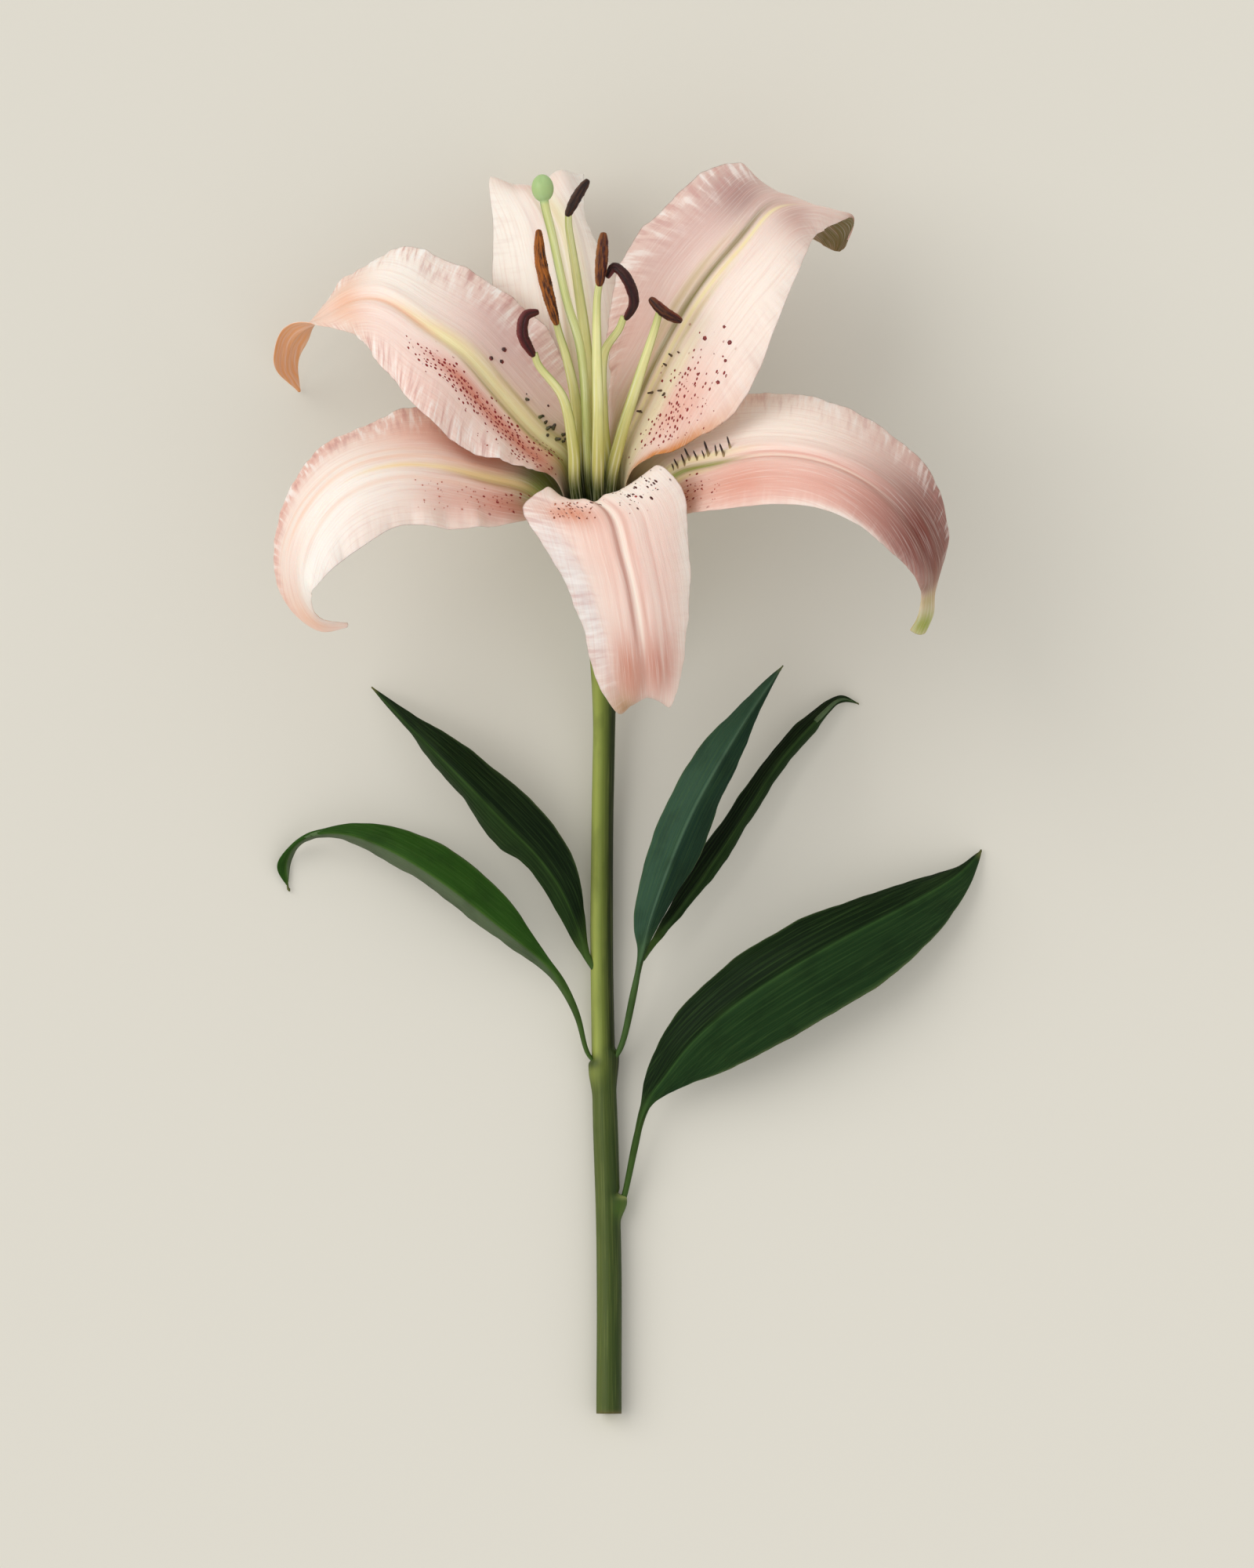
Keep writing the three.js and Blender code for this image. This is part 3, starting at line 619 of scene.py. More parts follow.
def streaks(tree, uv, along, across, detail):
    """Noise on the flat map, drawn out along the blade where across is the larger."""
    made = node(tree, "ShaderNodeTexNoise", [("Vector", scaled(tree, uv, along, across)),
                                             ("Scale", 1.0), ("Detail", detail)])
    return made.outputs["Fac"]


def bumpy(tree, height, strength, deep):
    """The normal of a surface with this relief; deep is in metres."""
    made = node(tree, "ShaderNodeBump", [("Height", height), ("Strength", strength), ("Distance", deep)])
    return made.outputs[0]


def fresh_material(name):
    """An empty node tree with a shader wired to its output."""
    material = bpy.data.materials.new(name)
    material.use_nodes = True
    tree = material.node_tree
    tree.nodes.clear()
    shader = node(tree, "ShaderNodeBsdfPrincipled")
    node(tree, "ShaderNodeOutputMaterial", [(0, shader.outputs[0])])
    return material, tree, shader


def petal_skin():
    """Paint, then dark and pale veins, feathered margins and spots; relief from all but the
    pale veins, and from a fine grain."""
    material, tree, shader = fresh_material("petal skin")
    uv = flat_map(tree)
    paint = attribute(tree, "paint")
    spotty, feather, dark = channels(tree, attribute(tree, "marks"))[:3]

    vein = streaks(tree, uv, 5, 120, 4)
    colour = layer(tree, paint, step_between(tree, vein, 0.45, 0.72), 0.17, (206, 140, 124))
    pale = streaks(tree, uv, 7, 210, 4)
    colour = layer(tree, colour, step_between(tree, pale, 0.46, 0.78), 0.26, (252, 246, 238))

    tuft = streaks(tree, uv, 62, 9, 4)
    pink = maths(tree, "MULTIPLY", step_between(tree, tuft, 0.50, 0.68), feather)
    colour = layer(tree, colour, pink, 0.75, (186, 128, 124))
    white = maths(tree, "MULTIPLY", step_between(tree, tuft, 0.50, 0.34), feather)
    colour = layer(tree, colour, white, 0.85, (253, 248, 244))

    cells = node(tree, "ShaderNodeTexVoronoi", [("Vector", scaled(tree, uv, 62.0, 92.0)), ("Scale", 1.0),
                                                ("Randomness", 0.85)], voronoi_dimensions="2D")
    dice = channels(tree, cells.outputs["Color"])
    size = maths(tree, "MULTIPLY_ADD", dice[1], 0.22, 0.17)
    dot = step_between(tree, maths(tree, "SUBTRACT", size, cells.outputs["Distance"]), 0.0, 0.07)
    there = step_between(tree, maths(tree, "SUBTRACT", spotty, dice[0]), 0.0, 0.04)
    dot = maths(tree, "MULTIPLY", dot, there)
    ink = blend(tree, dark, tint(140, 34, 34), tint(50, 28, 22))
    colour = blend(tree, dot, colour, ink)

    grain = streaks(tree, uv, 420, 420, 2)
    height = maths(tree, "MULTIPLY_ADD", vein, 0.5, maths(tree, "MULTIPLY", grain, 0.3))
    height = maths(tree, "MULTIPLY_ADD", maths(tree, "MULTIPLY", tuft, feather), 0.9, height)
    height = maths(tree, "MULTIPLY_ADD", dot, 0.8, height)
    normal = bumpy(tree, height, 0.45, 0.0005)
    rough = maths(tree, "MULTIPLY_ADD", vein, 0.2, 0.38)
    plug(tree, shader, [("Base Color", colour), ("Normal", normal), ("Roughness", rough),
                        ("Specular IOR Level", 0.35), ("Subsurface Weight", 0.18),
                        ("Subsurface Radius", (1.0, 0.55, 0.4)), ("Subsurface Scale", 0.002)])
    return material


PETAL_SKIN = petal_skin()
print("petal skin has", len(PETAL_SKIN.node_tree.nodes), "nodes")


# %% [markdown]
# ## Making the petals
# The rib lies in a channel with a low shoulder on each side, and stands out as a keel at
# the back. Margins ripple more than the middle, with a slow wave and a finer crinkle. Both
# fade towards the tip, where the petal is smooth.

# %% Petals
PETAL_GRID = (230, 91)          # rows along a petal, points across it
DARK_SPOTS = {"petal_bottom": 0.8}
RED_SPOTS = 0.05                # how dark the spots of the other petals are, from 0 to 1
# The rest are in millimetres.
PETAL_THICK = 0.8
CHANNEL, SHOULDER = 0.8, 0.5    # depth over the rib, height beside it
FINE_RIB = 0.09
PETAL_KEEL = 0.9
SLOW_WAVE, FINE_WAVE = 34, 9    # from one wave of the margin to the next
NARROW = 12                     # where the petal is narrower, everything is lower


def painted(name, u, v, across):
    """The front colour: ground, then patches, then lines beside the rib, then the throat's green, darkened
    deep in the tube as painted shade.
    """
    looks = LOOKS[name]
    washes = [(colour, patch(u, v, *place, strength)) for *place, colour, strength in looks["patches"]]
    for offset, width, start, end, colour, strength in looks["lines"]:
        narrowing = width * (1.15 - 0.5 * np.clip((u - start) / (end - start), 0, 1))
        there = rise(u, start - 0.05, start + 0.03) * fall(u, end - 0.14, end)
        washes.append((colour, strength * there * bell(across, offset, narrowing)))
    washes.append(((176, 184, 92), 0.8 * fall(u, 0.14, 0.22) * bell(v, 0, 0.7)))
    # the tube's green, deepened as painted shade at the bottom of the tube
    washes.append((TUBE_GREEN_AND_SHADE, fall(u, 0.11, 0.17) * fall(np.abs(v), 0.85, 1.0)))
    return coats(looks["ground"], across.shape, washes)


def underside(name, seed, front, u, along, across):
    """The back colour: the front, blushed over, with a green rib and a green foot."""
    washes = [(BLUSH, 0.75), ((164, 172, 96), 0.7 * fall(u, 0.25, 0.7) * bell(across, 0, 2.2)),
              ((160, 172, 100), fall(u, 0.12, 0.36))]
    if name in CURLED:
        colour, faint = CURLED[name]
        stripes = 1 - faint + faint * np.cos(across * 3.1 + wander(along / 12, seed, voices=2))
        washes.append((colour, rise(u, 0.68, 0.84) * stripes))
    return coats(front, across.shape, washes)


def petal(name, seed):
    """sheet + normal * (channel + shoulders + fine ribs + ruffle), then a front and back."""
    looks = LOOKS[name]
    points, u, v, along, across = sheet(RAILS[name], *PETAL_GRID)
    grown = rise(u, 0.10, 0.28) * rise(1 - u, 0.02, 0.35)
    wide = np.abs(across).max(axis=1, keepdims=True)
    channel = -CHANNEL * bell(across, 0, 1.5) + SHOULDER * bell(np.abs(across), 3.8, 1.8)
    ribs = FINE_RIB * np.cos(across * 2.1) * bell(v, 0, 0.6) * rise(1 - u, 0.3, 0.6)
    slow = margin_wave(along, v, SLOW_WAVE, seed + 1, voices=3)
    fine = margin_wave(along, v, FINE_WAVE, seed + 3, voices=3)
    margin = np.abs(v) ** 3
    wave = looks["ruffle"] * (margin * slow + 0.35 * margin**2 * fine)
    lift = grown * (channel + ribs + wave) * np.minimum(wide / NARROW, 1)
    for fold in looks["folds"]:
        lift = lift + patch(u, v, *fold)
    points, normals = lifted(points, lift)
    thick = PETAL_THICK * np.sqrt(1 - v**8) * (0.7 + 0.3 * bell(v, 0, 0.5) + 0.8 * fall(u, 0.02, 0.14))
    two_sides = two_sided(points, normals, thick, PETAL_KEEL * bell(across, 0, 1.6) * grown)

    front = painted(name, u, v, across)
    spotty = 1.15 * sum(patch(u, v, *spots) for spots in looks["spots"])
    low, high = looks["feather"]
    feather = (low * rise(-v, 0.45, 0.95) + high * rise(v, 0.45, 0.95)) * rise(u, 0.24, 0.34)
    feather = feather * rise(1 - u, 0.12, 0.35)
    dark = DARK_SPOTS.get(name, RED_SPOTS)
    marks = around(np.stack(np.broadcast_arrays(spotty, feather, dark, 1.0, across)[:4], -1))
    marks[..., :2] *= (1 - two_sides[1])[:, None]
    under = underside(name, seed, front, u, along, across)
    sheet_skin(name, PETAL_SKIN, two_sides, (front, under), v, along, across, marks)
    return points, normals, u[:, 0], v[0]


PETALS = {name: petal(name, 10 * k) for k, name in enumerate(RAILS)}
print("petals made:", ", ".join(PETALS))

# %% [markdown]
# ## Raised spots and hairs
# Near the throat a lily's petals carry small fleshy bumps, some with dark tips, and on one
# petal here a row of fine dark-tipped hairs. Each is a tiny closed cone that leans a
# little, with its foot inside the petal. Together they are one mesh.

# %% Bumps and hairs
BUMP_SIDES = 6
HAIR_HEIGHT = 2.0      # millimetres; the bumps that are taller are hairs
BUMP_SEED = 7
# how far they scatter, how far they lean, and where the tip colour starts and ends
BUMP_MANNER, HAIR_MANNER = (0.35, 0.0, 0.3, 0.85), (0.12, 1.6, 0.1, 0.55)
# petal, how many, along from-to, across from-to, height, foot radius, colour, tip colour
BUMPS = [
    ("petal_upper_left", 34, (0.18, 0.34), (-0.9, -0.45), 0.6, 0.28, (224, 160, 142), (150, 50, 44)),
    ("petal_upper_left", 5, (0.26, 0.38), (0.15, 0.6), 0.8, 0.75, (150, 50, 44), (50, 22, 18)),
    ("petal_upper_left", 11, (0.19, 0.30), (0.12, 0.45), 1.6, 0.55, (80, 90, 44), (24, 30, 18)),
    ("sepal_left", 60, (0.22, 0.42), (-0.75, -0.25), 0.6, 0.28, (214, 146, 124), (190, 110, 90)),
    ("petal_bottom", 30, (0.26, 0.34), (-0.85, -0.05), 0.6, 0.22, (90, 60, 40), (40, 26, 20)),
    ("petal_bottom", 7, (0.31, 0.37), (-0.75, -0.2), 0.6, 0.5, (196, 74, 60), (170, 40, 36)),
    ("petal_bottom", 40, (0.30, 0.38), (0.2, 0.7), 0.6, 0.32, (206, 124, 88), (160, 88, 58)),
    ("petal_upper_right", 9, (0.33, 0.43), (0.3, 0.75), 0.45, 0.85, (170, 60, 50), (120, 30, 28)),
    ("petal_upper_right", 40, (0.23, 0.34), (0.4, 0.9), 0.4, 0.22, (206, 120, 100), (160, 60, 50)),
    ("petal_upper_right", 8, (0.25, 0.35), (0.05, 0.3), 1.8, 0.45, (100, 80, 40), (36, 20, 14)),
    ("sepal_right", 10, (0.19, 0.30), (-0.17, -0.07), 4.0, 0.42, (190, 168, 120), (10, 8, 8)),
    ("sepal_right", 30, (0.20, 0.29), (0.3, 0.8), 0.5, 0.26, (218, 134, 106), (196, 98, 76)),
]


def bump_skin():
    """Paint with fine dark mottling."""
    material, tree, shader = fresh_material("bump skin")
    paint = attribute(tree, "paint")
    mottle = node(tree, "ShaderNodeTexNoise", [("Vector", object_place(tree)), ("Scale", 1800.0)])
    mottle = mottle.outputs["Fac"]
    plug(tree, shader, [("Base Color", layer(tree, paint, mottle, 0.35, (90, 30, 26))),
                        ("Roughness", maths(tree, "MULTIPLY_ADD", mottle, 0.3, 0.25))])
    return material


def bumps():
    """Ring j of a bump: foot + height * h_j * up + radius * r_j, over h from -0.4 to 1.
    Hairs stand in a row and lean the same way."""
    dice = np.random.default_rng(BUMP_SEED)
    heights = np.array([-0.4, 0.1, 0.55, 0.85, 1.0])
    widths = np.array([0.9, 1.0, 0.72, 0.62, 0.25])
    turn = np.linspace(0, 2 * np.pi, BUMP_SIDES, endpoint=False)
    rings, paint = [], []
    for name, count, u_span, v_span, height, radius, colour, tip in BUMPS:
        points, normals, u, v = PETALS[name]
        hairy = height > HAIR_HEIGHT
        scatter, lean, dark_from, dark_to = HAIR_MANNER if hairy else BUMP_MANNER
        row = np.searchsorted(u, dice.uniform(*u_span, count))
        column = np.searchsorted(v, dice.uniform(*v_span, count))
        if hairy:
            row = np.round(np.interp(np.linspace(*u_span, count), u, np.arange(len(u)))).astype(int)
        up = normals[row, column] + scatter * dice.standard_normal((count, 3))
        up = unit(up + np.array([0.0, lean, 0.0]))
        side = unit(np.cross(up, [0.0, 1.0, 0.0]))
        other = np.cross(up, side)
        size = dice.uniform(0.6, 1.25, count)[:, None, None, None]
        foot, up, side, other = (a[:, None, None] for a in (points[row, column], up, side, other))
        spread = np.cos(turn)[:, None] * side + np.sin(turn)[:, None] * other
        ring = (foot + size * radius * widths[:, None, None] * spread
                + size * height * heights[:, None, None] * up)
        rings.append(ring)
        darker = rise(heights, dark_from, dark_to)[:, None]
        paint.append(np.broadcast_to(coats(colour, darker.shape, [(tip, darker)]), ring.shape))
    rings, paint = np.concatenate(rings), np.concatenate(paint)
    levels = len(heights)
    start = np.arange(len(rings))[:, None, None] * levels * BUMP_SIDES
    low = start + (np.arange(levels - 1) * BUMP_SIDES)[:, None]
    here = np.arange(BUMP_SIDES)
    nxt = (here + 1) % BUMP_SIDES
    walls = np.stack([low + here, low + nxt, low + nxt + BUMP_SIDES, low + here + BUMP_SIDES], -1)
    first = start[:, 0, 0][:, None]
    last = first + (levels - 1) * BUMP_SIDES
    faces = walls.reshape(-1, 4).tolist() + (first + here[::-1]).tolist() + (last + here).tolist()
    make_piece("petal_bumps", rings.reshape(-1, 3), faces, paint.reshape(-1, 3), bump_skin())
    return len(rings)


print("bumps and hairs:", bumps())


# %% [markdown]
# ## Tubes for the stem, threads and pistil
# A round section is carried along a smooth path, and its side direction is kept as steady
# as the path lets it, so that grooves run straight along the tube.

# %% Tubes
PATH_STEPS = 400      # points along a path when its length is measured
PATH_EASE = 1.2       # how many rings each way its kinks are smoothed over


def tube(path, radius_at, steps, sides, shape, ease=None):
    """Ring k at path(t): centre + r(t) s(t, a) (cos a * side + sin a * other). Returns the
    rings, t, a, and the distance along in mm."""
    line = spline(path, np.linspace(0, 1, PATH_STEPS))
    length = np.append(0, np.cumsum(np.linalg.norm(np.diff(line, axis=0), axis=1)))
    share = np.linspace(0, 1, steps)
    share = ease(share) if ease else share
    centre = np.stack([np.interp(share * length[-1], length, line[:, k]) for k in range(3)], 1)
    centre = eased(centre, PATH_EASE)
    side = np.array([0.0, 0.0, 1.0])
    sideways = []
    forward = unit(np.gradient(centre, axis=0))
    for ahead in forward:
        side = side - ahead * side.dot(ahead)
        side = side / np.linalg.norm(side)
        sideways.append(side)
    side = np.array(sideways)
    other = np.cross(forward, side)
    angle = np.linspace(0, 2 * np.pi, sides, endpoint=False)[None, :]
    radius = radius_at(share)[:, None] * shape(share[:, None], angle)
    rings = (centre[:, None] + radius[..., None]
             * (np.cos(angle)[..., None] * side[:, None] + np.sin(angle)[..., None] * other[:, None]))
    return rings, share[:, None], angle, share[:, None] * length[-1]


def even(values):
    """Radii spread evenly along a path, with the same smooth curve between them."""
    values = np.array([[k, r, 0.0] for k, r in enumerate(values)])
    return lambda share: spline(values, share)[:, 1]


def round_flat(rings, angle, distance):
    """UVs of a tube: distance along it, and distance round it, in decimetres."""
    size = np.linalg.norm(rings - rings.mean(axis=1, keepdims=True), axis=2).mean()
    return np.stack(np.broadcast_arrays(distance, angle * size), -1) / 100


print("radius half way from 1 to 2 to 4:", even([1, 2, 4])([0.5]))

# %% [markdown]
# ## Stem
# A lily's stem is a firm green cane, faintly ribbed, with a swelling where each leaf
# grew. Its top widens into the seat of the flower. The cut end is pale and pithy.

# %% A material for stem, leaves and threads
def plant_skin(name, dark, light, grain_scale, roughness, amounts, lines=0, coat=0.0, shine=0.35):
    """Paint with thin light veins along the grain and soft dark clouds; amounts says how
    much of each. Lines, where there are any, run with v."""
    material, tree, shader = fresh_material(name)
    uv = flat_map(tree)
    paint = attribute(tree, "paint")
    grain = streaks(tree, uv, *grain_scale, 4)
    cloud = streaks(tree, uv, 9, 14, 3)
    colour = layer(tree, paint, step_between(tree, grain, 0.45, 0.68), amounts[0], light)
    colour = layer(tree, colour, step_between(tree, cloud, 0.45, 0.7), amounts[1], dark)
    height = maths(tree, "MULTIPLY", grain, 0.5)
    if lines:
        v = attribute(tree, "across", "Fac")
        wave = maths(tree, "COSINE", maths(tree, "MULTIPLY", v, lines * math.pi))
        line = step_between(tree, wave, 0.8, 0.99)
        colour = layer(tree, colour, line, 0.06, light)
        height = maths(tree, "MULTIPLY_ADD", line, -0.5, height)
    normal = bumpy(tree, height, 0.4, 0.0004)
    rough = maths(tree, "MULTIPLY_ADD", cloud, 0.2, roughness - 0.1)
    plug(tree, shader, [("Base Color", colour), ("Normal", normal), ("Roughness", rough),
                        ("Specular IOR Level", shine), ("Subsurface Weight", 0.05),
                        ("Subsurface Scale", 0.001), ("Coat Weight", coat)])
    return material


STEM_SKIN = plant_skin("stem skin", (58, 74, 28), (150, 160, 84), (4, 150), 0.45, (0.14, 0.25), shine=0.2)
print("stem skin has", len(STEM_SKIN.node_tree.nodes), "nodes")

# %% The cane
STEM_GRID = (420, 72)      # rings along it, points round it
STEM_PATH = [CUT_END, (0, 44, 3.55), (-1.5, 98, 3.7), (-2, 130, 4), (-1.8, 165, 5.5),
             (-1.3, 195, 10), FLOWER_BASE - 14 * FLOWER_AXIS, FLOWER_BASE + 0.3 * FLOWER_AXIS]
STEM_RADII = [3.55, 3.5, 3.5, 3.45, 3.5, 3.3, 3.2, 3.2, 3.1, 3.1, 3.2, 4.1, 7.0]
# Places along the stem are shares of its length. On a tube, the angle a is 0 on top, pi / 2
# on the right and -pi / 2 on the left, so a side is 1 for right and -1 for left.
LOW_LEAF, LEFT_LEAF, RIGHT_LEAF = (0.262, 1), (0.418, -1), (0.430, 1)
# collar: how far out (share of the radius), swells from-to, ends from-to, side, reach round
COLLARS = [(0.30, (0.375, 0.412), (0.416, 0.424), -1, 0.6),
           (0.34, (0.38, 0.425), (0.429, 0.436), 1, 0.6),
           (0.58, (0.226, 0.252), (0.257, 0.262), 1, 0.45)]
# The cut face, from the middle out: share of the radius, colour, how far it is sunk in mm.
CUT_FACE = [(0.25, (206, 200, 160), 0.7), (0.55, (198, 194, 148), 0.5), (0.78, (150, 156, 92), 0.15),
            (0.92, (110, 116, 60), 0.0)]


def cane(t, a):
    """1 + ribs + collars - a scar under the low leaf, rounded off at the top."""
    ribs = 0.012 * np.cos(9 * a + 2 * t) + 0.01 * np.cos(5 * a + 1.0)
    shape = 1 + ribs * rise(1 - t, 0.02, 0.1)
    for out, swells, ends, side, reach in COLLARS:
        shape = shape + out * rise(t, *swells) * fall(t, *ends) * bell(np.sin(a), side, reach)
    scar = -0.12 * bell(t, LOW_LEAF[0], 0.003) * bell(np.sin(a), LOW_LEAF[1], 0.5)
    return (shape + scar) * (1 - 0.10 * rise(t, 0.990, 1.0))


def stem():
    """A cane along its path, lit and shaded by paint, with the cut face closing its foot."""
    rings, t, a, distance = tube(STEM_PATH, even(STEM_RADII), *STEM_GRID, cane)
    left = -np.sin(a)
    washes = [((158, 168, 84), 0.85 * bell(left, 0.7, 0.4)),
              ((24, 34, 10), 0.96 * rise(-left, -0.2, 0.75)),
              ((44, 62, 18), 0.82 * fall(t, 0.38, 0.43))]
    washes += [((36, 54, 14), 0.95 * bell(t, place, 0.009) * bell(np.sin(a), side, 0.9))
               for place, side in (LOW_LEAF, LEFT_LEAF, RIGHT_LEAF)]
    washes += [((76, 106, 34), 0.8 * bell(t, 0.244, 0.014) * bell(np.sin(a), 1, 0.5)),
               ((176, 186, 112), 0.7 * bell(t, 0.2575, 0.003) * bell(np.sin(a), 1, 0.3)),
               ((148, 164, 88), 0.8 * rise(t, 0.88, 1.0)),
               ((96, 84, 48), 0.7 * fall(t, 0.0, 0.006))]
    paint = coats((106, 120, 46), rings.shape[:2], washes)
    centre = rings[0].mean(axis=0)
    face = [centre + (rings[0] - centre) * part + [0, sunk, 0] for part, _, sunk in CUT_FACE]
    pith = [np.broadcast_to(tint(*colour), paint[0].shape) for _, colour, _ in CUT_FACE]
    rings, paint = np.concatenate([face, rings]), np.concatenate([pith, paint])
    distance = np.concatenate([np.zeros((len(face), 1)), distance])
    return skin("stem_skin", rings, round_flat(rings, a, distance), paint, STEM_SKIN, "stem")


STEM = stem()
print("stem faces:", len(STEM.data.polygons))


# %% [markdown]
# ## Leaves
# Each leaf is a long blade on a thin stalk. The blade folds a little along its rib and has
# parallel veins that meet at the tip. The stalk is nearly round.

# %% Leaf rails
# name: (share of the stalk, where its foot joins, rows)
LEAF_RAILS = {
    "leaf_upper_left": (0.1, (-2.6, 123, 4.5), [
        [(-5.9, 125.5, 4), (-5.9, 127, 5), (-5.9, 129, 5)],
        [(-10.5, 132.5, 6), (-9, 136, 8), (-6.8, 141, 7.5)],
        [(-16, 142, 10), (-14, 147, 12), (-8.4, 150, 11)],
        [(-23, 153, 14), (-20.5, 156, 17), (-12.5, 160, 14)],
        [(-32, 159, 15), (-29.5, 165, 22), (-21.5, 171.5, 17)],
        [(-41, 171.5, 16), (-40, 176, 23), (-36, 183.5, 18)],
        [(-50, 183, 14), (-50, 186, 19), (-49, 192, 15)],
        [(-58.5, 193.5, 8), (-59, 195, 10), (-58, 197.5, 9)],
        [(-67, 202.9, 2), (-67, 203.2, 2), (-66.8, 203.5, 2)]]),
    "leaf_lower_left": (0.25, (-3.0, 97, 4.0), [
        [(-6.6, 99.8, 4.4), (-6, 100, 4.4), (-5.4, 100.2, 4.4)],
        [(-9.6, 110.2, 8), (-8.8, 110.6, 8), (-8, 111, 8)],
        [(-15, 119.8, 11), (-13.8, 120.5, 11), (-12.6, 121.2, 11)],
        [(-19.5, 124.3, 13), (-18.5, 126, 13.5), (-17.5, 127.5, 13)],
        [(-31, 132.5, 15), (-31, 136, 17.5), (-28, 143.5, 16)],
        [(-45, 142.7, 15), (-45, 147, 19), (-42, 156, 16)],
        [(-60, 153.2, 12), (-60, 156.5, 17), (-58, 163.4, 14)],
        [(-74, 160.3, 7), (-74.5, 162, 12), (-74.5, 165.2, 10)],
        [(-85, 160.3, 3), (-86, 160.5, 6.5), (-87.5, 160.3, 6)],
        [(-89.5, 154.5, 1.2), (-91, 154, 2.4), (-93.8, 153, 2.4)],
        [(-90.2, 146.3, 0.9), (-90, 146, 0.9), (-89.8, 146, 0.9)]]),
    "leaf_upper_right": (0.28, (0.2, 98, 4.2), [
        [(2.2, 101.2, 5.8), (3, 101, 5.8), (3.8, 100.8, 5.8)],
        [(5.6, 116, 12), (6.6, 115.7, 12), (7.6, 115.4, 12)],
        [(8.2, 129, 17), (9.3, 129, 17), (10.3, 129, 17)],
        [(6.8, 135.5, 18), (11.3, 137, 19), (15, 138, 18)],
        [(9.5, 152, 21), (16.5, 152, 24), (24.5, 154, 21)],
        [(16, 171, 24), (24, 169.5, 28), (31.5, 171, 25)],
        [(28.5, 190, 24), (34, 187, 28), (38, 186, 26)],
        [(40, 201.5, 20), (42, 199.5, 23), (43.5, 199, 22)],
        [(48.8, 209.5, 15), (49, 209.4, 15), (49.2, 209.2, 15)]]),
    "leaf_narrow_right": (0.1, (9.4, 127, 15.8), [
        [(11.6, 131.6, 12.5), (12.2, 130.9, 12.5), (12.8, 130.2, 12.5)],
        [(15.3, 138, 12.5), (16.8, 136.8, 14), (17.5, 136, 13)],
        [(23.5, 154.5, 10.5), (27.5, 151, 13), (29, 149.8, 11)],
        [(34.5, 169, 11), (36.5, 164.5, 14), (37.5, 161.5, 11)],
        [(46, 186, 9), (47.5, 181.5, 12), (48.5, 180, 9)],
        [(58, 197, 5), (59.5, 195, 8), (60.5, 194, 5)],
        [(65.5, 201, 2.5), (65.5, 200, 3.5), (65.5, 199, 2.5)],
        [(70.3, 198.9, 1), (70.4, 198.6, 1), (70.4, 198.3, 1)]]),
    "leaf_lower_right": (0.22, (3.6, 57.5, 4.0), [
        [(4.1, 62.8, 4.4), (4.9, 62.5, 4.4), (5.7, 62.2, 4.4)],
        [(6.3, 74.6, 7.6), (7.3, 74.3, 7.6), (8.3, 74, 7.6)],
        [(9, 86, 11), (10.2, 85.6, 11), (11.4, 85.2, 11)],
        [(10.3, 95, 12), (15, 92.5, 14), (18, 89.2, 12)],
        [(16.5, 108, 15), (25, 105, 20), (34, 96, 15)],
        [(36, 128, 19), (43, 119, 24), (52, 105, 17)],
        [(60, 140.5, 19), (64, 131.5, 24), (73, 117.5, 16)],
        [(82, 148, 14), (84, 142, 18), (90, 131, 11)],
        [(98, 152.5, 6), (98.5, 150.5, 8), (101, 146, 5)],
        [(104.8, 157.7, 1), (105, 157.4, 1), (105.1, 157, 1)]]),
}
# name: (left half, right half, rib) colours; the two halves differ as painted light and painted shade, by how
# each half faces the light
LEAF_LOOKS = {
    "leaf_upper_left": ((28, 48, 18), (12, 28, 8), (46, 72, 28)),
    "leaf_lower_left": ((86, 98, 74), (36, 70, 16), (60, 92, 32)),
    "leaf_upper_right": ((50, 78, 60), (26, 50, 36), (80, 108, 86)),
    "leaf_narrow_right": ((8, 20, 6), (24, 44, 16), (48, 70, 32)),
    "leaf_lower_right": ((12, 30, 8), (26, 52, 22), (46, 76, 34)),
}

print("rows of rails:", {name: len(rows) for name, (_, _, rows) in LEAF_RAILS.items()})

# %% Leaves
LEAF_GRID = (190, 61)      # rows along a leaf, points across it
LEAF_LINES = 13            # fine veins from margin to margin
LEAF_SEED = 100            # where the leaves' random waves start
# The rest are in millimetres.
LEAF_THICK = 0.55
STALK_THICK = 1.9
LEAF_GROOVE, LEAF_VEIN = 0.35, 0.05
LEAF_KEEL = 0.5
LEAF_WAVE = 40             # from one wave of the margin to the next

LEAF_SKIN = plant_skin("leaf skin", (6, 18, 5), (90, 124, 64), (4, 160), 0.5, (0.10, 0.26),
                       lines=LEAF_LINES, shine=0.07)


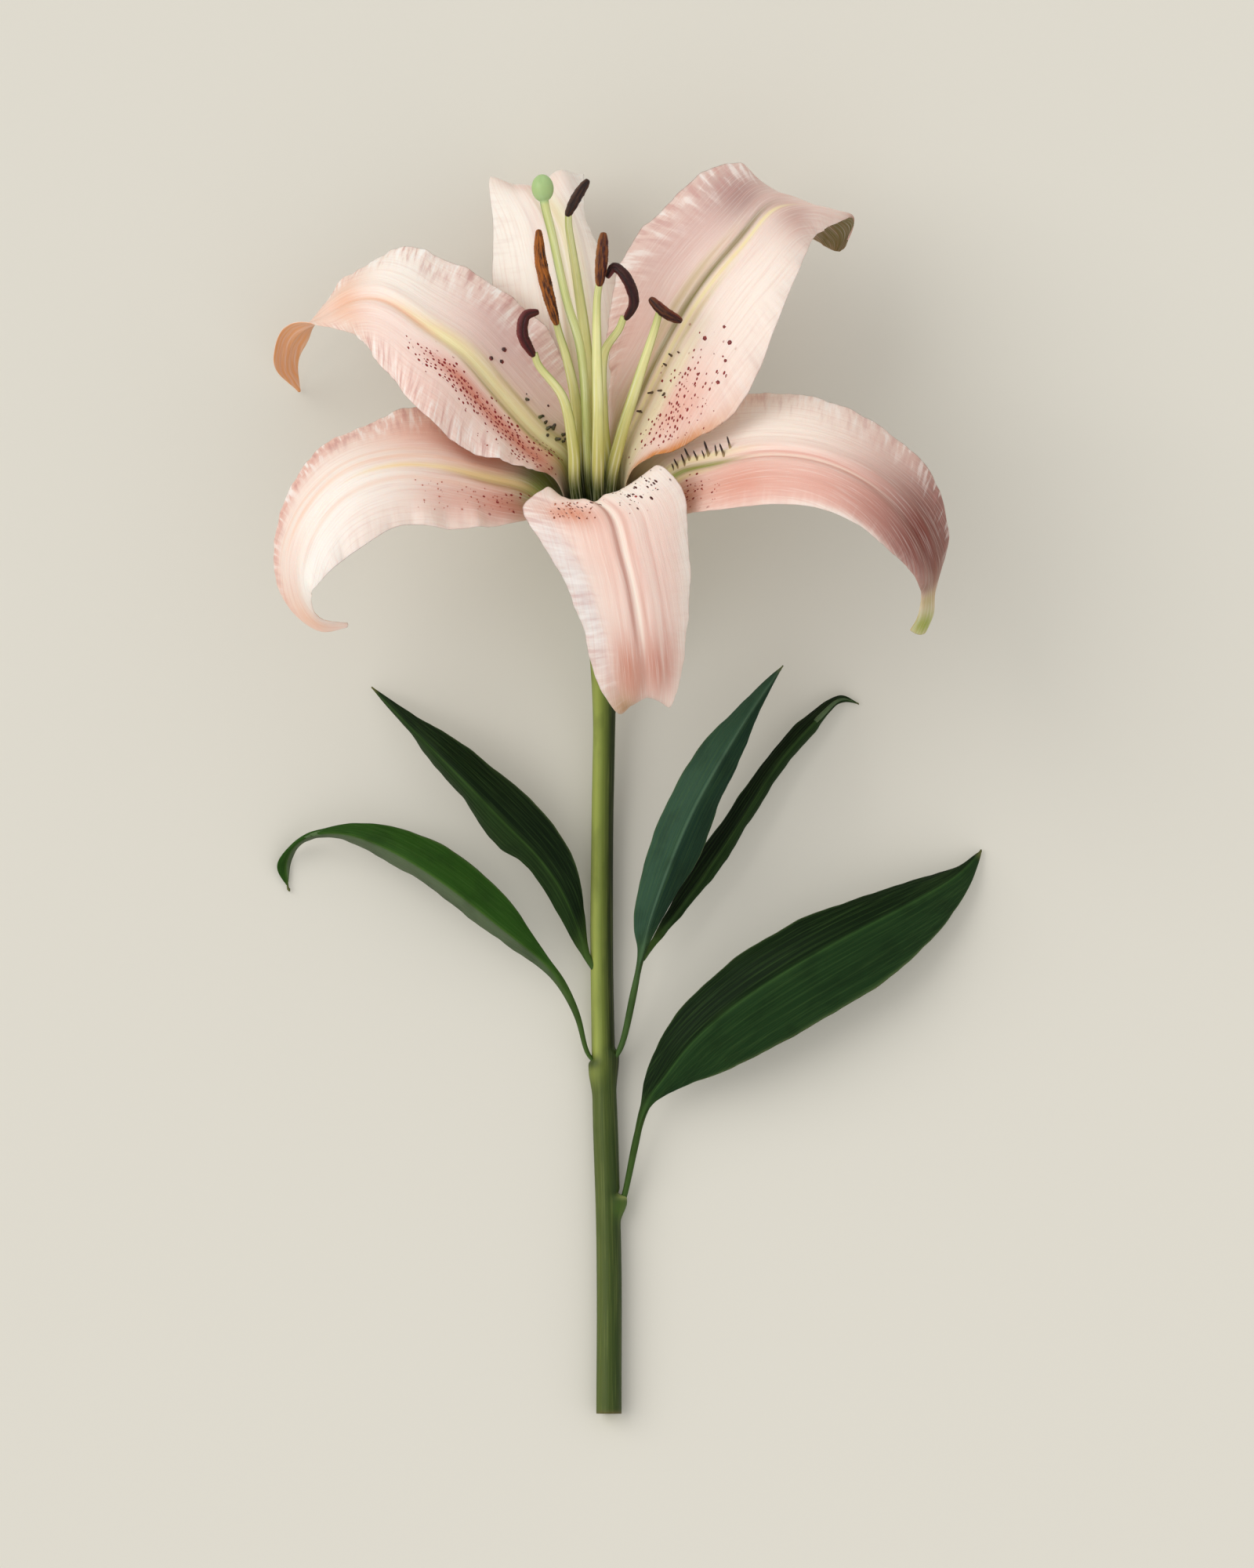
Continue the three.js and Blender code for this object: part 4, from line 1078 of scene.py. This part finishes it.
def leaf(name, seed):
    """sheet + normal * (groove over the rib + fine ribs + a slow wave at the margins)."""
    stalk, root, rows = LEAF_RAILS[name]
    left, right, rib = LEAF_LOOKS[name]
    half = (np.array(rows[0][2], float) - rows[0][0]) / 2
    rows = [[root - half, np.array(root), root + half]] + [list(map(np.array, row)) for row in rows]
    stalk = (stalk * (len(rows) - 2) + 1) / (len(rows) - 1)
    points, u, v, along, across = sheet(rows, *LEAF_GRID, fold=1.6)
    blade = rise(u, stalk * 0.7, stalk * 1.3)
    groove = -LEAF_GROOVE * bell(across, 0, 0.9) * blade
    veins = LEAF_VEIN * np.cos(v * LEAF_LINES * np.pi) * blade * rise(1 - u, 0.05, 0.2)
    wave = margin_wave(along, v, LEAF_WAVE, seed + 1)
    lift = groove + veins + 0.6 * blade * np.abs(v) ** 2.5 * wave * rise(1 - u, 0.02, 0.2)
    points, normals = lifted(points, lift)
    leafy = LEAF_THICK * np.sqrt(1 - v**10)
    round_stalk = (STALK_THICK + 0.8 * fall(u, 0.03, 0.12)) * np.sqrt(1 - v**2)
    thick = round_stalk + (leafy - round_stalk) * blade
    keel = LEAF_KEEL * bell(across, 0, 0.8) * blade * rise(1 - u, 0.02, 0.3)

    # the right half's colour over the left's: one half painted as lit, the other in painted shade
    front = coats(left, across.shape, [
        (right, rise(v, -0.05, 0.05)), (rib, 0.85 * bell(across, 0, 0.5)),
        ((64, 88, 38), 0.85 * fall(u, stalk * 0.6, stalk * 1.25)),
        ((104, 126, 78), 0.5 * rise(np.abs(v), 0.93, 1.0) * blade),
        ((120, 112, 66), 0.6 * rise(u, 0.965, 1.0))])
    under = coats(front, across.shape, [((104, 122, 92), 0.5)])
    return sheet_skin(name, LEAF_SKIN, two_sided(points, normals, thick, keel), (front, under),
                      v, along, across)


LEAVES = [leaf(name, LEAF_SEED + 10 * k) for k, name in enumerate(LEAF_RAILS)]
print("leaves made:", len(LEAVES))


# %% [markdown]
# ## Stamens
# Six threads stand in a ring round the pistil. Each carries a pollen sack, hinged at its
# middle or end, with a groove down each side where it splits, and a dust of pollen.

# %% Threads and pollen sacks
# number: (ring degrees, thread points, sack points, sack radius, dark, light, pollen amount);
# the light colour lies on each sack's upper left side, partly its own paler colour and partly a painted
# highlight
STAMENS = {
    1: (90, [(-4.5, 266, 48.5), (-6.3, 298, 61), (-9, 318, 66), (-11.3, 332.6, 68.5)],
        [(-11.8, 334.8, 69), (-9.2, 340, 69), (-5.8, 345.2, 67)],
        1.35, (34, 18, 17), (84, 66, 60), 0.1),
    2: (150, [(-8.5, 263.5, 50), (-9.3, 283, 58), (-12, 296, 63.5), (-13.9, 302, 66)],
        [(-14.6, 304.4, 68), (-17.2, 314, 70.5), (-19.2, 323, 71), (-19.7, 331.3, 70)],
        1.6, (58, 22, 10), (150, 92, 40), 0.9),
    3: (270, [(-3.0, 260.3, 56), (-3, 280, 66), (-3.4, 300, 71), (-3.2, 312.6, 73.5)],
        [(-2.7, 315.2, 74.3), (-2, 323, 76), (-1.5, 330.4, 76)],
        1.6, (56, 6, 12), (150, 100, 56), 0.45),
    4: (30, [(-0.5, 263.5, 51), (-1.8, 280, 59), (-1.2, 297, 65), (3, 303.6, 69)],
        [(4.6, 305.9, 70.3), (7, 311, 73), (4.6, 318, 75), (1.5, 320.6, 74), (-0.6, 317.6, 73)],
        1.4, (44, 4, 12), (112, 40, 46), 0.05),
    5: (-30, [(0.5, 260.5, 54), (3, 272, 58), (8.5, 290, 66), (13.4, 305.2, 72)],
        [(11.4, 312, 74), (15.6, 308, 74.6), (20.4, 305.4, 73)],
        1.4, (48, 8, 8), (116, 38, 26), 0.2),
    6: (210, [(-9.5, 260, 54.5), (-10, 270, 59), (-13, 284.5, 65), (-19.8, 293.4, 69)],
        [(-21, 295.6, 70.4), (-24.2, 302, 73), (-23.3, 307, 73), (-19.6, 308.2, 72)],
        1.45, (66, 4, 14), (116, 46, 50), 0.05),
}

THREAD_SKIN = plant_skin("thread skin", (170, 178, 98), (246, 246, 216), (5, 190), 0.4, (0.45, 0.25),
                         coat=0.1)
THREAD_GRID, SACK_GRID = (140, 32), (120, 44)      # rings along, points round
THREAD_RADII = [0.8, 1.5, 1.35, 0.85]
ROUGH = 0.03                           # how uneven a sack's surface is, as a share of its radius
# the throat's dark green: partly the threads' and style's own green, partly painted shade deep in the throat
THROAT_GREEN_AND_SHADE = (44, 60, 18)
THROAT_DEPTH = (38, 47)                # how far along a thread or the style its dark green fades out
SHADED_DEPTH = (45, 80)                # and where the softer shade above it does, both in mm
RING_RADIUS, RING_RISE = 2.6, 0.6      # where the threads stand, in mm from the flower's base
END_HINGE, SIDE_HINGE = 0.08, 0.35     # how far along a sack its thread joins it, as a share
SIDE_HINGED = (5,)                     # sacks that hang by their middle; the rest hang by an end


def pollen_skin():
    """Paint broken up by fine grains; orange streaks run along it where pollen lies thick."""
    material, tree, shader = fresh_material("pollen")
    place = object_place(tree)
    uv = flat_map(tree)
    paint = attribute(tree, "paint")
    dusty = channels(tree, attribute(tree, "marks"))[0]
    grains = node(tree, "ShaderNodeTexVoronoi", [("Vector", place), ("Scale", 3600.0)])
    clump = streaks(tree, uv, 22, 130, 4)
    dust = maths(tree, "MULTIPLY", step_between(tree, clump, 0.40, 0.58), dusty)
    colour = layer(tree, paint, dust, 0.95, (172, 100, 38))
    normal = bumpy(tree, grains.outputs["Distance"], 0.5, 0.0002)
    rough = maths(tree, "MULTIPLY_ADD", dust, 0.45, 0.38)
    plug(tree, shader, [("Base Color", colour), ("Normal", normal), ("Roughness", rough),
                        ("Specular IOR Level", 0.3)])
    return material


POLLEN = pollen_skin()


def thread(number):
    """A tapering thread from the ring to its sack, flat to the front."""
    degrees, path, sack_path = STAMENS[number][:3]
    foot, tip = np.array(sack_path[0], float), np.array(sack_path[-1], float)
    hinge = foot + (SIDE_HINGE if number in SIDE_HINGED else END_HINGE) * (tip - foot)
    path = [in_flower(RING_RISE, RING_RADIUS, degrees), *path, hinge]
    # wider from side to side than from front to back, and a little uneven
    broad = lambda t, a: 1 - 0.16 * rise(t, 0.3, 0.5) * np.cos(2 * a) + 0.03 * np.cos(5 * a + t)
    rings, t, a, distance = tube(path, even(THREAD_RADII), *THREAD_GRID, broad)
    paint = coats((230, 226, 156), rings.shape[:2], [
        ((120, 136, 58), 0.7 * bell(np.sin(a), 1, 0.25)),
        ((170, 180, 104), 0.6 * bell(np.sin(a), -1, 0.25)),
        # painted shade down the throat: a softer shade, then the throat's dark green, which is partly their
        # own green
        ((188, 182, 84), 0.7 * fall(distance, *SHADED_DEPTH)), (THROAT_GREEN_AND_SHADE, fall(distance, *THROAT_DEPTH)),
        ((170, 176, 98), 0.5 * rise(t, 0.85, 1.0))])
    skin(f"thread_{number}", rings, round_flat(rings, a, distance), paint, THREAD_SKIN,
         f"filament_{number}")


def pollen_sack(number):
    """Two rough lobes with a groove between, dusted with pollen."""
    path, radius, dark, light, pollen = STAMENS[number][2:]
    dice = np.random.default_rng(number)
    # plump along its whole length, and blunt at the ends
    full = lambda share: 0.15 + radius * np.sin(np.pi * np.clip(share, 0.0, 1.0)).clip(0) ** 0.32
    lobes = lambda t, a: (1 - 0.16 * bell(np.abs(np.sin(a)), 0, 0.22) - 0.10 * bell(np.cos(a), -1, 0.3)
                          + 0.03 * np.cos(34 * t + 2 * a))
    rings, t, a, distance = tube(path, full, *SACK_GRID, lobes)
    centre = rings.mean(axis=1, keepdims=True)
    rings = centre + (rings - centre) * (1 + ROUGH * dice.standard_normal(rings.shape[:2]))[..., None]
    # the light colour on the upper left side, towards the light: partly the sack's own colour, partly a
    # painted highlight
    paint = coats(dark, rings.shape[:2], [(light, 0.85 * bell(a, 5.1, 0.5)),
                                          ((14, 10, 10), 0.8 * bell(np.abs(np.sin(a)), 0, 0.16))])
    skin(f"pollen_sack_{number}", rings, round_flat(rings, a, distance), paint, POLLEN,
         f"anther_{number}", marks=(pollen, 0.0, 0.0, 0.0))


for number in STAMENS:
    thread(number)
    pollen_sack(number)
print("stamens made:", len(STAMENS))


# %% [markdown]
# ## Pistil
# The long style starts on the seed pod, deep in the tube, and ends in a sticky three-lobed
# stigma, here a small pale mint egg.

# %% Pistil
STYLE_PATH = [in_flower(RING_RISE, 0, 0), (-5.6, 261.8, 52.6), (-6, 271, 58), (-8, 298, 68),
              (-12, 312, 72), (-16, 330, 74), (-18.1, 339, 74), (-18.9, 346.6, 73.6)]
STYLE_GRID = (300, 48)      # rings along, points round
STYLE_RADII = [1.2, 1.5, 1.4, 1.3, 1.25, 1.2, 1.3]
STIGMA_RADIUS = 3.1
STIGMA_START, STIGMA_SHARE = 0.940, 0.060      # shares of the pistil's length
STIGMA_MIDDLE = 0.975


def pistil():
    """style radius, then an egg over the last 6%: R sqrt(1 - (2h - 1)^2), three-lobed."""
    style = even(STYLE_RADII)

    def radius(share):
        """The style's own radius, or the egg's where that is larger."""
        height = np.clip((share - STIGMA_START) / STIGMA_SHARE, 0, 1)
        egg = STIGMA_RADIUS * np.sqrt(np.clip(1 - (2 * height - 1) ** 2, 0, 1))
        return np.where(share > STIGMA_MIDDLE, np.maximum(0.2, egg), np.maximum(style(share), egg))

    lobes = lambda t, a: 1 - rise(t, STIGMA_MIDDLE, 0.99) * 0.10 * bell(np.abs(np.sin(1.5 * a)), 0, 0.35)
    ease = lambda share: np.sin(np.pi / 2 * share)
    rings, t, a, distance = tube(STYLE_PATH, radius, *STYLE_GRID, lobes, ease)
    egg = rise(t, 0.932, 0.946)
    paint = coats((204, 208, 138), rings.shape[:2], [
        ((116, 134, 58), 0.8 * bell(np.sin(a), -1, 0.45)),
        # painted shade down the throat: a softer shade, then the throat's dark green, which is partly the
        # style's own green
        ((150, 156, 64), 0.6 * fall(distance, *SHADED_DEPTH)),
        (THROAT_GREEN_AND_SHADE, fall(distance, *THROAT_DEPTH)), ((164, 194, 134), egg),
        ((124, 158, 92), 0.7 * egg * bell(np.sin(a - 0.6), 1, 0.5))])
    flat = round_flat(rings, a, distance)
    flat[..., 1] *= 1 - 0.97 * egg      # the stigma is smooth, so the veins end below it
    return skin("pistil_skin", rings, flat, paint, THREAD_SKIN, "pistil")


print("pistil faces:", len(pistil().data.polygons))


# %% [markdown]
# ## Floor, light and camera
# A plain pale table. A broad soft light from the left gives the petals their form, and an
# even sky fills the shadows. The camera looks straight down from far away with a long
# lens, so that near petals aren't enlarged.

# %% Table
TABLE_HALF = 30.0
TABLE_DROP = 0.0002      # a hair below the lily, so that the two don't share a surface
floor_mesh = bpy.data.meshes.new("table top")
floor_mesh.from_pydata([(x * TABLE_HALF, y * TABLE_HALF, -TABLE_DROP)
                        for x, y in ((-1, -1), (1, -1), (1, 1), (-1, 1))], [], [(0, 1, 2, 3)])
floor = show("table_top", floor_mesh)
paper, paper_tree, paper_shader = fresh_material("pale table")
plug(paper_tree, paper_shader, [("Base Color", (*tint(219, 216, 206), 1)), ("Roughness", 0.9),
                                ("Specular IOR Level", 0.1)])
floor.data.materials.append(paper)
print("table:", 2 * TABLE_HALF, "m square")

# %% Light
SKY = 0.78
SUN = 1.2
SUN_WIDTH = 50           # degrees across, for soft shadows
SUN_TILT = (-18, -44)    # degrees, about x and y
world = bpy.data.worlds.new("soft sky")
bpy.context.scene.world = world
world.use_nodes = True
plug(world.node_tree, world.node_tree.nodes["Background"],
     [("Color", (1.0, 0.99, 0.97, 1)), ("Strength", SKY)])
lamp = bpy.data.lights.new("window_left", "SUN")
lamp.energy = SUN
lamp.angle = math.radians(SUN_WIDTH)
lamp.color = (1.0, 0.98, 0.95)
window = show("window_left", lamp)
window.rotation_euler = (*map(math.radians, SUN_TILT), 0)
print("sky", SKY, "and sun", SUN)

# %% Camera
LENS = 1000.0            # millimetres
SENSOR = 36.0
FRAME_MIDDLE = (5.06, 176.0, 0.0)
FRAME_HEIGHT = 0.440     # metres, as are the next two
FLOWER_HEIGHT = 0.040
FAR = 200.0
camera_data = bpy.data.cameras.new("overhead")
camera_data.lens = LENS
camera_data.sensor_width = SENSOR
camera_data.clip_end = FAR
camera = show("overhead", camera_data)
middle = (np.array(FRAME_MIDDLE) + SHIFT) / 1000
camera.location = (middle[0], middle[1], FLOWER_HEIGHT + FRAME_HEIGHT * LENS / SENSOR)
bpy.context.scene.camera = camera
bpy.context.scene.view_settings.view_transform = "Standard"
print("camera stands", round(camera.location.z, 2), "m up")

# %% Update the scene
bpy.context.view_layer.update()
